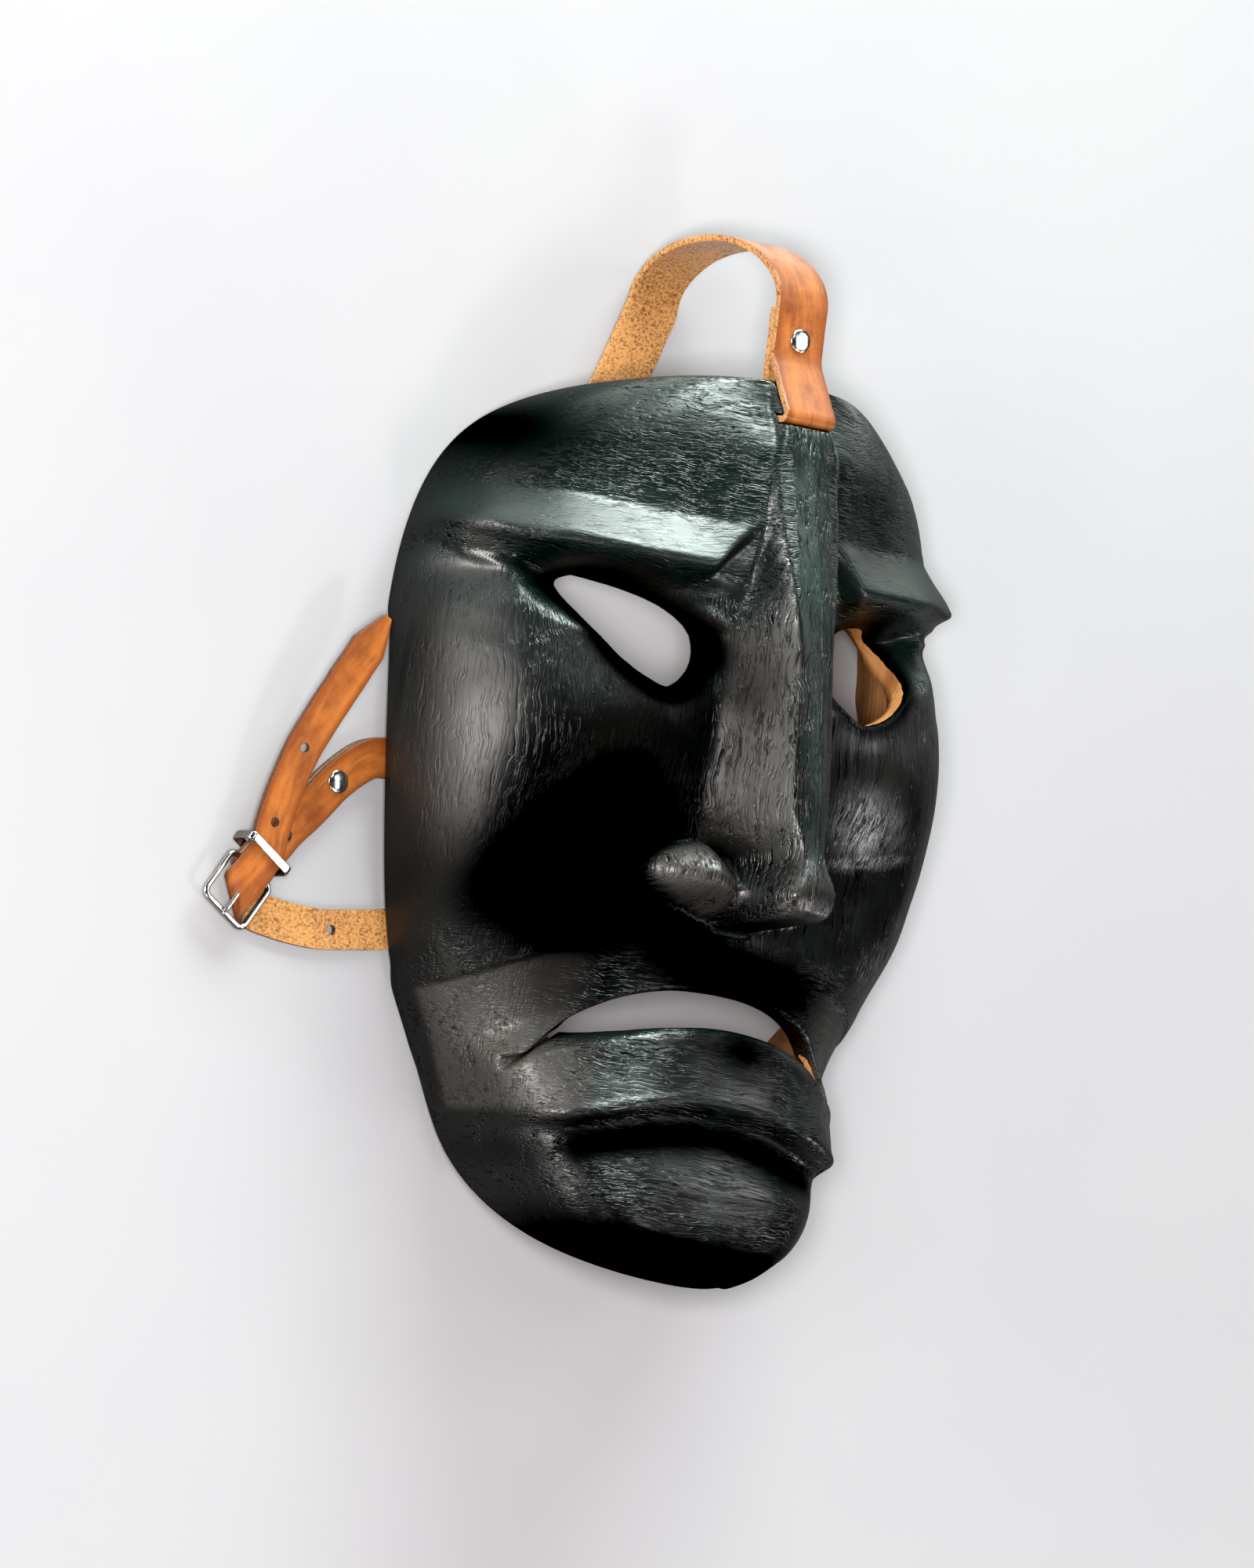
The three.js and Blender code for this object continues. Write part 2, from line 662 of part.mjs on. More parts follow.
const leftRivet = uprightRivet(leftRoute.getPointAt(LEFT_RIVET / leftLength), LOW, HIGH, RIVET_HEAD);
const buckleRivetH = leftLength - BUCKLE_RIVET_BACK;
const buckleRivetAt = leftRoute.getPointAt(buckleRivetH / leftLength);
const lean = THREE.MathUtils.degToRad(slopeAngle(leftRise, buckleRivetH));
const layerStep = leftRoute.getTangentAt(buckleRivetH / leftLength);
layerStep.multiplyScalar(Math.tan(lean) * LAYER);
const buckleRivetTop = buckleRivetAt.clone().setZ(leftRise(buckleRivetH));
const buckleRivetFoot = buckleRivetAt.clone().add(layerStep).setZ(buckleRivetTop.z - LAYER);
const buckleRivet = rivet(buckleRivetFoot, buckleRivetTop, BUCKLE_RIVET_HEAD);
const slotBox = new THREE.BoxGeometry(4.2, 11, 16);
const prongSlot = placed(slotBox, rightOfAxis, axis, up, nearBar.clone().setZ(frameZ));
const leftStrap = leftLeather()
  .subtract(leftRivet.hole)
  .subtract(buckleRivet.hole)
  .subtract(toManifold(prongSlot));

// Ring of a bar bent to a rounded oblong, used flat for the buckle frame and upright for the keeper
function oblongRing(halfWide, low, high, bar, corner) {
  const outline = (grow, path) => {
    const x = halfWide + grow;
    const [a, b, r] = [low - grow, high + grow, corner + grow];
    path.moveTo(-x + r, a);
    path.lineTo(x - r, a);
    path.quadraticCurveTo(x, a, x, a + r);
    path.lineTo(x, b - r);
    path.quadraticCurveTo(x, b, x - r, b);
    path.lineTo(-x + r, b);
    path.quadraticCurveTo(-x, b, -x, b - r);
    path.lineTo(-x, a + r);
    path.quadraticCurveTo(-x, a, -x + r, a);
    return path;
  };
  const shape = outline(bar, new THREE.Shape());
  shape.holes.push(outline(0, new THREE.Path()));
  return shape;
}

function placed(geometry, xAxis, yAxis, zAxis, at) {
  const matrix = new THREE.Matrix4().makeBasis(xAxis, yAxis, zAxis);
  matrix.setPosition(at);
  geometry.applyMatrix4(matrix);
  return geometry;
}

function buckleFrame() {
  const thick = 2 * BAR - 2 * BEVEL;
  const reach = FRAME_LONG / 2 - BAR + BEVEL;
  const shape = oblongRing(FRAME_HALF + BEVEL, -reach, reach, thick, FRAME_CORNER);
  const geometry = new THREE.ExtrudeGeometry(shape, {
    depth: thick,
    bevelEnabled: true,
    bevelThickness: BEVEL,
    bevelSize: BEVEL,
    bevelSegments: 1,
    curveSegments: 3,
  });
  geometry.translate(0, 0, -thick / 2);
  return toManifold(placed(geometry, rightOfAxis, axis, up, alongBuckle(FRAME_LONG / 2, 0, frameZ)));
}

// Prong: a ring round the near bar and a straight rod that rests on the far bar
const PRONG_RING = 2.35;
const prongFrom = nearBar.clone().setZ(frameZ + PRONG_RING).toArray();
const prongTo = alongBuckle(-1.4, 0, frameZ + BAR + GAP + PRONG).toArray();
const prongRing = new THREE.TorusGeometry(PRONG_RING, PRONG, 6, 10);
const prong = toManifold(placed(prongRing, axis, up, rightOfAxis, nearBar.clone().setZ(frameZ)))
  .add(pegBetween(prongFrom, prongTo, PRONG, 8));

// Right strap, turned over inside the buckle frame: it wraps a level cylinder set at a slant to it
const TIE_X = -54.5;
const TIE_Y = -33;
const TIP_POINT = 13;
const TIP_RISE = 7;
const HOLE = 1.7;
const HOLE_PITCH = 26.6;
const LOW_HOLE_BACK = 36;
const headingOf = (turn) => v3(Math.cos(turn), Math.sin(turn));
const heading = (degrees) => headingOf(THREE.MathUtils.degToRad(degrees));
const HEAD_IN = 170;
const HEAD_OUT = 60;
const crease = heading((HEAD_IN + HEAD_OUT) / 2);
const bulge = heading((HEAD_IN + HEAD_OUT) / 2 + 90);
const halfTurn = THREE.MathUtils.degToRad((HEAD_IN - HEAD_OUT) / 2);
const rollR = (overZ - FLOOR_RUN) / 2;
const creep = (Math.PI * rollR) / Math.tan(halfTurn);
const foldStart = alongBuckle(7.4, -0.2);
foldStart.addScaledVector(crease, -creep / 2).addScaledVector(bulge, -rollR);
const foldEnd = foldStart.clone().addScaledVector(crease, creep);
const LEAD = 6.5;

function turnOver() {
  const steps = 12;
  const sections = [];
  for (let k = 0; k <= steps; k += 1) {
    const turn = (Math.PI * k) / steps;
    const at = foldStart.clone().addScaledVector(crease, (creep * k) / steps);
    at.addScaledVector(bulge, rollR * Math.sin(turn));
    const through = bulge.clone().multiplyScalar(Math.sin(turn)).setZ(-Math.cos(turn));
    at.z = FLOOR_RUN + rollR * (1 - Math.cos(turn));
    sections.push({ at, across: crease.clone(), through, half: SIDE_WIDTH / 2 / Math.sin(halfTurn) });
  }
  return sections;
}

// A flat section of a strap on its route; side is 1 with the upper face up and -1 with it down
function routeSection(route, h, heightAt, side, half) {
  const length = route.getLength();
  const along = route.getTangentAt(h / length);
  const slope = (heightAt(h + 0.5) - heightAt(h - 0.5)) * side;
  return {
    at: route.getPointAt(h / length).setZ(heightAt(h)),
    across: v3(-along.y * side, along.x * side),
    through: along.multiplyScalar(-slope).setZ(side),
    half,
  };
}

// Where the right strap runs: the loop in the right slot, the crossing under the mask, and the tip
const RIGHT_END = -20;
const RIGHT_RIVET = -11;
const RIGHT_BEND_R = 4;
const upSlot = (crestZ - LOW - RIGHT_BEND_R * (1 + leanIn)) / leanUp;
const rightLoop = bentPath([RIGHT_END, LOW], 0, [
  ['run', crestH + upSlot * leanIn - RIGHT_BEND_R * leanUp - RIGHT_END],
  ['bend', RIGHT_BEND_R, 90 + SIDE_SLOT_LEAN],
  ['run', upSlot],
  ['bend', TURN_R, 180 - SIDE_SLOT_LEAN],
  ['run', topLeg - HIGH - TURN_R],
  ['bend', TURN_R, -90],
]);
const beforeFold = foldStart.clone().addScaledVector(heading(HEAD_IN), -9);
const crossing = new THREE.CatmullRomCurve3([v3(LOOP_START + rightLoop.at(-1).h, SIDE_Y), v3(76, 13),
  v3(60, 10), v3(30, -2), v3(0, -14), v3(-30, -25), v3(TIE_X, TIE_Y), v3(-88, -42.6), v3(-102, -45),
  v3(-114, -46.6), v3(-127, -46.4), beforeFold, foldStart]);
const afterFold = foldEnd.clone().addScaledVector(heading(HEAD_OUT), 9);
const tipRoute = new THREE.CatmullRomCurve3([foldEnd, afterFold, v3(-144.2, -17), v3(-137.8, 8.4),
  v3(-126.5, 33), v3(-113.5, 57.5)]);
crossing.arcLengthDivisions = 600;
const crossLength = crossing.getLength();
const tipLength = tipRoute.getLength();
let tieH = 0;
while (crossing.getPointAt(tieH / crossLength).x > TIE_X) {
  tieH += 0.5;
}
const TIE_CLEAR = 15.5;
const liftAt = (h) => 2 - ease(16, 34, h) - ease(TIE_CLEAR, TIE_CLEAR + 10, Math.abs(h - tieH));
const crossHeight = (h) => FLOOR_RUN + (HIGH - FLOOR_RUN) * liftAt(h);
const tipHeight = (h) => overZ + TIP_RISE * ease(14, tipLength, h);

function rightLeather() {
  const half = SIDE_WIDTH / 2;
  const sections = rightLoop.map((p) => {
    const r = THREE.MathUtils.degToRad(p.turn);
    const through = v3(-Math.sin(r), 0, Math.cos(r));
    return { at: v3(LOOP_START + p.h, SIDE_Y, p.z), across: v3(0, 1), through, half };
  });
  const steps = 29;
  for (let k = 1; k <= steps; k += 1) {
    sections.push(routeSection(crossing, ((crossLength - LEAD) * k) / steps, crossHeight, -1, half));
  }
  sections.push(...turnOver());
  for (let k = 0; k <= 18; k += 1) {
    const h = LEAD + ((tipLength - TIP_POINT - LEAD) * k) / 18;
    sections.push(routeSection(tipRoute, h, tipHeight, 1, half));
  }
  sections.push(routeSection(tipRoute, tipLength - 0.6, tipHeight, 1, 1.6));
  return strapSolid(sections, LEATHER);
}

const rightRivet = uprightRivet(v3(LOOP_START + RIGHT_RIVET, SIDE_Y), LOW, HIGH, RIVET_HEAD);
let rightStrap = rightLeather()
  .subtract(rightRivet.hole)
  .subtract(pegBetween(prongFrom, prongTo, PRONG + 0.7, 10));
const beyondKeeper = 19;
const punched = [beyondKeeper, beyondKeeper + HOLE_PITCH].map((h) => {
  return tipRoute.getPointAt(h / tipLength).setZ(tipHeight(h));
});
punched.push(crossing.getPointAt((crossLength - LOW_HOLE_BACK) / crossLength).setZ(FLOOR_RUN));
for (const at of punched) {
  const [low, high] = [at.z - LEATHER, at.z + LEATHER];
  rightStrap = rightStrap.subtract(pegBetween([at.x, at.y, low], [at.x, at.y, high], HOLE, 12));
}

// Keeper: a flat metal loop round the left strap's two layers and the right strap
const KEEPER_GAP = 4.2;
const KEEPER_AT = FRAME_LONG + KEEPER_GAP;
const KEEPER_LONG = 3;
const KEEPER_HALF = 9.1;
const KEEPER_BAR = 0.9;
const KEEPER_LEFT = 1.2;
const KEEPER_PLAY = 0.5;
const keeperLow = leftUnder(leftLength - KEEPER_GAP) - LEATHER / 2 - KEEPER_PLAY;
const keeperHigh = overZ + LEATHER / 2 + KEEPER_PLAY;
const keeperShape = oblongRing(KEEPER_HALF, keeperLow, keeperHigh, KEEPER_BAR, KEEPER_BAR);
const keeperBand = new THREE.ExtrudeGeometry(keeperShape, {
  depth: KEEPER_LONG,
  bevelEnabled: false,
  curveSegments: 4,
});
const keeperPlace = alongBuckle(KEEPER_AT, KEEPER_LEFT);
const keeper = toManifold(placed(keeperBand, leftOfAxis, up, axis.clone(), keeperPlace));

// Top strap: looped over the forehead edge, riveted, arched to the floor, tied round the right strap
const TOP_RIVET = 167;
const TOP_END = 177;
const UNDER_R = 2.6;
const CREST_R = 1.8;
const EASE_R = 9;
const ARCH_OUT = 22;
const TIE_HALF = 15.4;
const REAR_RIVET = 20;
const backZ = TOP_EDGE_Z - 2.2 - GAP - LEATHER / 2;
const frontZ = backZ + LEATHER + GAP;
const hookR = LEATHER + GAP;
const topRoute = new THREE.CatmullRomCurve3([v3(-12, TOP_END + 1), v3(-21, 153), v3(-50, 82),
  v3(-53.5, 30), v3(TIE_X, TIE_Y), v3(TIE_X, TIE_Y - TIE_HALF)]);
const crestAtSlot = alongProfile(CREST, TOP_SLOT_Y + 1.8);
const slide = Math.atan2(crestAtSlot - (TOP_EDGE_Z + 2), 152 - TOP_SLOT_Y - 1.8);

function topLeather() {
  const degrees = THREE.MathUtils.radToDeg(slide);
  const upRun = crestAtSlot - backZ - UNDER_R;
  const crestTop = backZ + UNDER_R + upRun + CREST_R * Math.cos(slide);
  const drop = (crestTop - frontZ - EASE_R * (1 - Math.cos(slide))) / Math.sin(slide);
  const loop = bentPath([TOP_END, backZ], 180, [
    ['run', TOP_END - TOP_SLOT_Y - UNDER_R],
    ['bend', UNDER_R, -90],
    ['run', upRun],
    ['bend', CREST_R, -90 - degrees],
    ['run', drop],
    ['bend', EASE_R, degrees],
  ]);
  const places = loop.map((p) => v3(0, p.h, p.z));
  const middleZ = (frontZ + LOW) / 2;
  const start = topRoute.getPointAt(0);
  for (let k = 0; k < 14; k += 1) {
    const turn = (Math.PI * k) / 14;
    const y = start.y + ARCH_OUT * Math.sin(turn);
    places.push(v3(start.x * ease(0, 1, k / 14), y, middleZ + (frontZ - middleZ) * Math.cos(turn)));
  }
  const count = places.length;
  const tie = topRoute.getLength();
  const floorRun = [];
  for (let k = 0; k < 7; k += 1) {
    floorRun.push({ h: (tie * k) / 7, z: LOW, turn: 0 });
  }
  floorRun.push(...bentPath([tie, LOW], 0, [['bend', hookR, 180], ['run', 2 * TIE_HALF - 1]]));
  for (let k = 1; k <= 6; k += 1) {
    const z = LOW + 2 * hookR - hookR * ease(0, 3, k);
    floorRun.push({ h: tie - 2 * TIE_HALF + 1 - 4.8 * k, z, turn: 180 });
  }
  const laid = laidOut(floorRun, topRoute, TOP_WIDTH / 2);
  const sections = places.map((at) => ({ at, across: v3(1, 0), half: TOP_WIDTH / 2 }));
  for (let i = 0; i < count; i += 1) {
    const next = i + 1 < count ? sections[i + 1].at : laid[1].at;
    const along = next.clone().sub(sections[Math.max(0, i - 1)].at).normalize();
    sections[i].across.addScaledVector(along, -sections[i].across.dot(along)).normalize();
    sections[i].through = along.cross(sections[i].across);
  }
  return strapSolid(sections.concat(laid), LEATHER);
}

const topRivet = uprightRivet(v3(0, TOP_RIVET), backZ, frontZ, RIVET_HEAD);
const rearAt = topRoute.getPointAt(1 - (2 * TIE_HALF + REAR_RIVET) / topRoute.getLength());
const rearRivet = uprightRivet(rearAt, LOW, HIGH, RIVET_HEAD);
const topStrap = topLeather().subtract(topRivet.hole).subtract(rearRivet.hole);

// The scene: every piece with its own finish, set on the floor about the middle of its footprint
const PAINT = { color: 0x15191a, roughness: 0.42, metalness: 0 };
const TAN = { color: 0xc8742c, roughness: 0.55, metalness: 0 };
const NICKEL = { color: 0xc9c8c4, roughness: 0.22, metalness: 1 };
const pieces = [
  ['mask_shell', shell, PAINT],
  ['strap_left', leftStrap, TAN],
  ['strap_right', rightStrap, TAN],
  ['strap_top', topStrap, TAN],
  ['buckle_frame', buckleFrame(), NICKEL],
  ['buckle_tongue', prong, NICKEL],
  ['buckle_keeper', keeper, NICKEL],
  ['rivet_left', leftRivet.solid, NICKEL],
  ['rivet_right', rightRivet.solid, NICKEL],
  ['rivet_top', topRivet.solid, NICKEL],
  ['rivet_rear', rearRivet.solid, NICKEL],
  ['rivet_buckle', buckleRivet.solid, NICKEL],
];
const group = new THREE.Group();
for (const [name, solid, look] of pieces) {
  const mesh = new THREE.Mesh(toGeometry(solid), new THREE.MeshStandardMaterial(look));
  mesh.name = name;
  group.add(mesh);
}
const footprint = new THREE.Box3().setFromObject(group);
const middle = footprint.getCenter(new THREE.Vector3());
group.position.set(-middle.x, -middle.y, -footprint.min.z);

export default group;
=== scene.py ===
import json
import math

import bmesh
import bpy
import numpy as np
from bpy.props import FloatProperty, FloatVectorProperty, IntProperty, PointerProperty
from mathutils import Color, Matrix, Vector, noise

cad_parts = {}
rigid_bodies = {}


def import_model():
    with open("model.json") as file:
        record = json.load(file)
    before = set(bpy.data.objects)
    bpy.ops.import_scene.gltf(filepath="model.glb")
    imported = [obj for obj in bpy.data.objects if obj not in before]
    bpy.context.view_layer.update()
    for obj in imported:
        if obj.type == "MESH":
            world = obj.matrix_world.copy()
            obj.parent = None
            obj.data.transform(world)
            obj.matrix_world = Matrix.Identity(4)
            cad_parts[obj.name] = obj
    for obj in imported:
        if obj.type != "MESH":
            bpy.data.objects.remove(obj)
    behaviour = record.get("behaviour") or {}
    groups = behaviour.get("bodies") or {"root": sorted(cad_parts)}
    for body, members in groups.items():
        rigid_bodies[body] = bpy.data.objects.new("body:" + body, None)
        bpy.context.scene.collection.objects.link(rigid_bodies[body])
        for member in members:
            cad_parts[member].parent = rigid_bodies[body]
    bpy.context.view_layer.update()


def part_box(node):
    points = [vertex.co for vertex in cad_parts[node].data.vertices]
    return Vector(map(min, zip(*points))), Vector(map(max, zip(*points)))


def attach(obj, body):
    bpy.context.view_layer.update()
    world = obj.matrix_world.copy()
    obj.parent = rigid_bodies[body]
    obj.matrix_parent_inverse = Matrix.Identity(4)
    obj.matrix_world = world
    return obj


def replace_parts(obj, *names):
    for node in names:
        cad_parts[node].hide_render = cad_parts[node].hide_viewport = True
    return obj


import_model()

bl_info = {
    "name": "Carved mask",
    "version": (1, 0, 0),
    "blender": (4, 5, 0),
    "location": "View3D > Sidebar > Mask",
    "description": "A carved wooden face mask with leather straps, lying face up",
    "category": "Object",
}

MM = 0.001
ROUND = 2 * math.pi

# The maker's own frame: millimetres, x across the face, y towards the forehead, z up from the floor
RIVET_TOP_Y = 167
_low, _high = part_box("rivet_top")
ROW_SHIFT = Vector(((_low.x + _high.x) / 2, (_low.y + _high.y) / 2 - RIVET_TOP_Y * MM, 0))

# Sizes of the carved shell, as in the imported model
HALF_WIDTH = 102
WIDEST_Y = 48
ABOVE_WIDEST = 104
BELOW_WIDEST = 196
CHIN_HALF = 43
JAW_PINCH = 0.09
CENTRE_Y = 10
TOP_POWER = 2.72
TOP_EDGE_Z = 72
CHIN_EDGE_Z = 64
RIM_ARCH = 7.6
FOOT_TOP_Y = 72
FOOT_LOW_Y = -70
WALL = 8
RIM_EXTRA = 2.6
MOUTH_HALF = 65
FRONT = [(152, 75), (138, 79), (120, 81), (104, 80), (88, 80), (70, 81), (50, 81), (20, 79), (-10, 75),
         (-40, 72), (-62, 75), (-85, 78), (-103, 79.5), (-118, 82.5), (-132, 84.5), (-137, 81), (-148, 66)]
BOXINESS = [(150, 3.2), (130, 3.1), (110, 2.6), (80, 2.3), (50, 2.55), (20, 2.8), (-20, 2.9), (-45, 2.5),
            (-80, 2.8), (-105, 4.8), (-125, 6.5), (-148, 5)]
CREST = [(152, 74), (138.5, 82.6), (124, 88.4), (97.6, 97), (71.2, 104.3), (44.9, 109.4), (18.5, 114),
         (-2.6, 117), (-16, 121.3), (-23, 120), (-26.5, 116), (-28.5, 98), (-30.5, 74), (-34, 62), (-60, 50)]
ROOF_HALF = [(152, 9), (138, 9), (124, 11.5), (104, 11.5), (80, 8.5), (62, 6.5), (34, 7), (8, 6.5), (-2, 4.5),
             (-8, 4.5), (-14, 6.5), (-19, 8.2), (-25, 7), (-29, 5), (-34, 3)]
ROOF_FALL = [(152, 0), (134, 0), (122, 0.26), (100, 0.34), (60, 0.4), (40, 0.55), (8, 0.6), (-8, 0.4),
             (-18, 0.22), (-34, 0.2)]
NOSE_FOOT = [(152, 12), (138, 12), (124, 14), (110, 14), (85, 13), (60, 20), (30, 22), (8, 22), (0, 19),
             (-5, 14), (-9, 12), (-14, 12), (-22, 13), (-28, 9), (-34, 5)]

# The nose's side lobe: its middle, half width and half height, then its foot and how far it stands out
ALAR_X, ALAR_Y, ALAR_WIDE, ALAR_TALL, ALAR_BASE, ALAR_HIGH = 19, -14, 18, 11, 66, 27

# Outline of an eye hole
EYE = [(59, 79), (45, 78), (31, 72.5), (23.5, 65), (24, 56.5), (31, 48.5), (40, 44.5), (49, 47), (59, 54),
       (65.5, 63), (65.5, 73)]

# The holes' outlines widen from front to back between two heights, and their front edge is rounded
EYE_FLARE = 1.12
MOUTH_FLARE = 1.04
MOUTH_BACK_HALF = 56
FLARE_LOW = 5
FLARE_HIGH = 130
LIP = 0.8

# Marks on the shell's points: 1 to 3 on the holes, then the rim, and the same plus this in the hollow
RIM_LOOP = 9
HOLLOW_LOOPS = 20
INSIDE_RIM = 0.99999
RIM_STEPS = 5760
FEWEST_FACES = 1000
FAR = 1e3

# Patches of painted shade, where the paint is darker and shows less shine: across, along, half width, half
# height and how much
SHADE_PATCHES = [(-49, 8, 41, 46, 1.0), (-60, -26, 38, 26, 1.0), (-6, -44, 20, 12, 1.0), (26, -46, 26, 14, 1.0),
        (4, -70, 18, 10, 0.9), (-86, 126, 22, 26, 0.9), (36, 122, 30, 30, 0.75), (-55, 130, 30, 16, 0.4),
        (-66, 71, 14, 8, 0.8), (70, 10, 16, 40, 0.5), (-14, 52, 8, 20, 0.5),
        (-52, -62, 13, 11, 0.35), (-20, 134, 22, 22, 0.35)]

# Thin folds under the outer end of each brow: distances from the middle, and heights there; how high they
# stand is in knife depths
FOLDS = [((84, 93, 99), (89, 91, 92)), ((78, 93, 99), (76, 82, 88))]
FOLD_WIDTH = 1.5
FOLD_HEIGHT = 9

# Sizes of the straps and metal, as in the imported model
LEATHER = 2.2
GAP = 0.35
SIDE_WIDTH = 13.2
TOP_WIDTH = 19.5
SLOT_GAP = LEATHER + 1.4
BAR = 1.05
SIDE_Y = 13
SIDE_SLOT_LEAN = math.radians(22)
OUTER_WOOD = 3.3
LOOP_START = 84
TOP_SLOT_Y = 139.2
LOW = 2.2
HIGH = LOW + LEATHER + GAP
FLOOR_RUN = GAP + LEATHER / 2
LAYER = LEATHER + GAP + 0.3
AXIS = 58
FAR_BAR = (-156.2, -47)
FRAME_LONG = 18
FRAME_HALF = 8.7
FOLD_ROUND = BAR + LEATHER / 2 + 0.5
FRAME_Z = FLOOR_RUN + LEATHER + GAP + FOLD_ROUND
OVER_Z = FRAME_Z + FOLD_ROUND + LEATHER + GAP
CREST_S = 17.5
TURN_R = 2
FLOOR_BEND_R = 2.5
MOUTH_BEND_R = 3.2
LEFT_RIVET = 36
LEFT_END = 45
LEFT_BACK = 26
BUCKLE_RIVET_BACK = 17
PRONG = 0.8
PRONG_RING = 2.35
TIE = (-54.5, -33)
TIE_CLEAR = 15.5
TIP_POINT = 13
TIP_RISE = 7
HOLE = 1.7
HOLE_PITCH = 26.6
BEYOND_KEEPER = 19
LOW_HOLE_BACK = 36
HEAD_IN = 170
HEAD_OUT = 60
LEAD = 6.5
RIGHT_END = -20
RIGHT_RIVET = -11
RIGHT_BEND_R = 4
KEEPER_GAP = 4.2
KEEPER_AT = FRAME_LONG + KEEPER_GAP
KEEPER_LONG = 3
KEEPER_HALF = 9.1
KEEPER_BAR = 0.9
KEEPER_LEFT = 1.2
TOP_END = 177
UNDER_R = 2.6
CREST_R = 1.8
EASE_R = 9
ARCH_OUT = 22
TIE_HALF = 15.4
REAR_RIVET = 20
RIVET_HEAD = 3.9
BUCKLE_RIVET_HEAD = 2.4

# More sizes of the slots, rivets and buckle
SLOT_LONG = 26
SLOT_LIFT = 8
SLOT_PLAY = 1.4
TOP_SLOT_PLAY = 1.2
TOP_SLOT_AT = 85
TOP_SLOT_LONG = 50
SHANK = 1.6
PRESS = 0.3
FRAME_CORNER = 2.6
KEEPER_CORNER = 1.6
KEEPER_PLAY = 0.5
UNDER_EDGE = 2.2
UP = np.array((0.0, 0.0, 1.0))

# Stations of the prong's rod: how far along, how thick and how far it dips
PRONG_ROD = [(0.3, 1.05, 0), (0.62, 1.0, 0), (0.86, 0.95, 0), (0.95, 0.9, 0.1), (1.0, 0.72, 0.22),
             (1.02, 0.4, 0.3)]

# Where the lights are aimed, and the camera: its aim over the maker's origin and its lens
LIT_PLACE = Vector((0.033, -0.029, 0.06))
AIM_Z = 0.004
AIM_ACROSS = 0.0026
AIM_UP = 0.01948
SENSOR = 36
LENS_PER_METRE = 90 / 1.3


# ---------------------------------------------------------------- shape of the face

def ease(low, high, value):
    """0 below low, 1 above high and a soft rise between"""
    t = np.clip((value - low) / (high - low), 0, 1)
    return t * t * (3 - 2 * t)


def bell(value, width):
    """1 at zero and a soft fall to both sides"""
    return np.exp(-((value / width) ** 2))


def profile(stations, y):
    """A smooth line through pairs of a height y and the value there"""
    rows = np.array(stations[::-1], float)
    at, value = rows[:, 0], rows[:, 1]
    slope = np.empty(len(at))
    slope[1:-1] = (value[2:] - value[:-2]) / (at[2:] - at[:-2])
    slope[0] = (value[1] - value[0]) / (at[1] - at[0])
    slope[-1] = (value[-1] - value[-2]) / (at[-1] - at[-2])
    y = np.clip(y, at[0], at[-1])
    i = np.clip(np.searchsorted(at, y, side="right") - 1, 0, len(at) - 2)
    span = at[i + 1] - at[i]
    t = (y - at[i]) / span
    return ((2 * t ** 3 - 3 * t ** 2 + 1) * value[i] + (t ** 3 - 2 * t ** 2 + t) * span * slope[i]
            + (3 * t ** 2 - 2 * t ** 3) * value[i + 1] + (t ** 3 - t ** 2) * span * slope[i + 1])


def rim_points(angle):
    """The rim seen from the front, low at the sides and high at forehead and chin"""
    across, along = np.cos(angle), np.abs(np.sin(angle))
    power = 2 / TOP_POWER
    jaw = HALF_WIDTH * np.abs(across) * (1 - JAW_PINCH * bell(along - 0.7, 0.15))
    chin = ease(0.3, 0.7, along) * CHIN_HALF * np.sqrt(np.maximum(0, 1 - along ** 24))
    upper = np.sin(angle) >= 0
    wide = np.where(upper, HALF_WIDTH * np.abs(across) ** power, (jaw ** 6 + chin ** 6) ** (1 / 6))
    y = np.where(upper, WIDEST_Y + ABOVE_WIDEST * along ** power, WIDEST_Y - BELOW_WIDEST * along)
    lift = np.where(upper, TOP_EDGE_Z * along ** (power * 11), CHIN_EDGE_Z * along ** 10.5)
    middle = (y - (FOOT_TOP_Y + FOOT_LOW_Y) / 2) / ((FOOT_TOP_Y - FOOT_LOW_Y) / 2)
    arch = RIM_ARCH * (1 - np.minimum(1, np.abs(middle)) ** 2)
    on_foot = np.maximum(*[1 - ease(7, 17, np.abs(y - foot)) for foot in (FOOT_TOP_Y, FOOT_LOW_Y)])
    foot = on_foot * (1 - ease(4, 12, lift))
    return np.sign(across) * wide, y, (lift + arch) * (1 - foot)


def rim_table():
    """The rim by direction from the middle: distance and height"""
    x, y, z = rim_points(-math.pi + ROUND * (np.arange(RIM_STEPS) + 0.5) / RIM_STEPS)
    turn = np.arctan2(y - CENTRE_Y, x)
    order = np.argsort(turn)
    return turn[order], np.hypot(x, y - CENTRE_Y)[order], z[order]


RIM_TURN, RIM_REACH, RIM_Z = rim_table()


def rim_at(turn):
    return [np.interp(turn, RIM_TURN, values, period=ROUND) for values in (RIM_REACH, RIM_Z)]


# Heights over a distance from the middle: the mouth's edges, the lower lip's foot and the brow
def upper_lip(x):
    return -51.4 - 11.5 * (x / 60) ** 2 - 14.7 * (x / 60) ** 4


def lower_lip(x):
    return -63.4 - 16.8 * (x / 60) ** 2


def lip_foot(x):
    return -90.5 - 20.9 * (x / 60) ** 2 + 9.05 * (x / 60) ** 4


def brow_line(x):
    return 86.5 + 6 * (x / 100) ** 2


def alar_share(a, y):
    """1 in the middle of the nose's side lobe, 0 on its edge, less beyond"""
    u = (a - ALAR_X) / ALAR_WIDE
    sag = 0.5 * np.maximum(0, ALAR_X - a)
    return 1 - np.abs(u) ** np.where(u > 0, 1.5, 2) - ((y - ALAR_Y + sag) / ALAR_TALL) ** 2


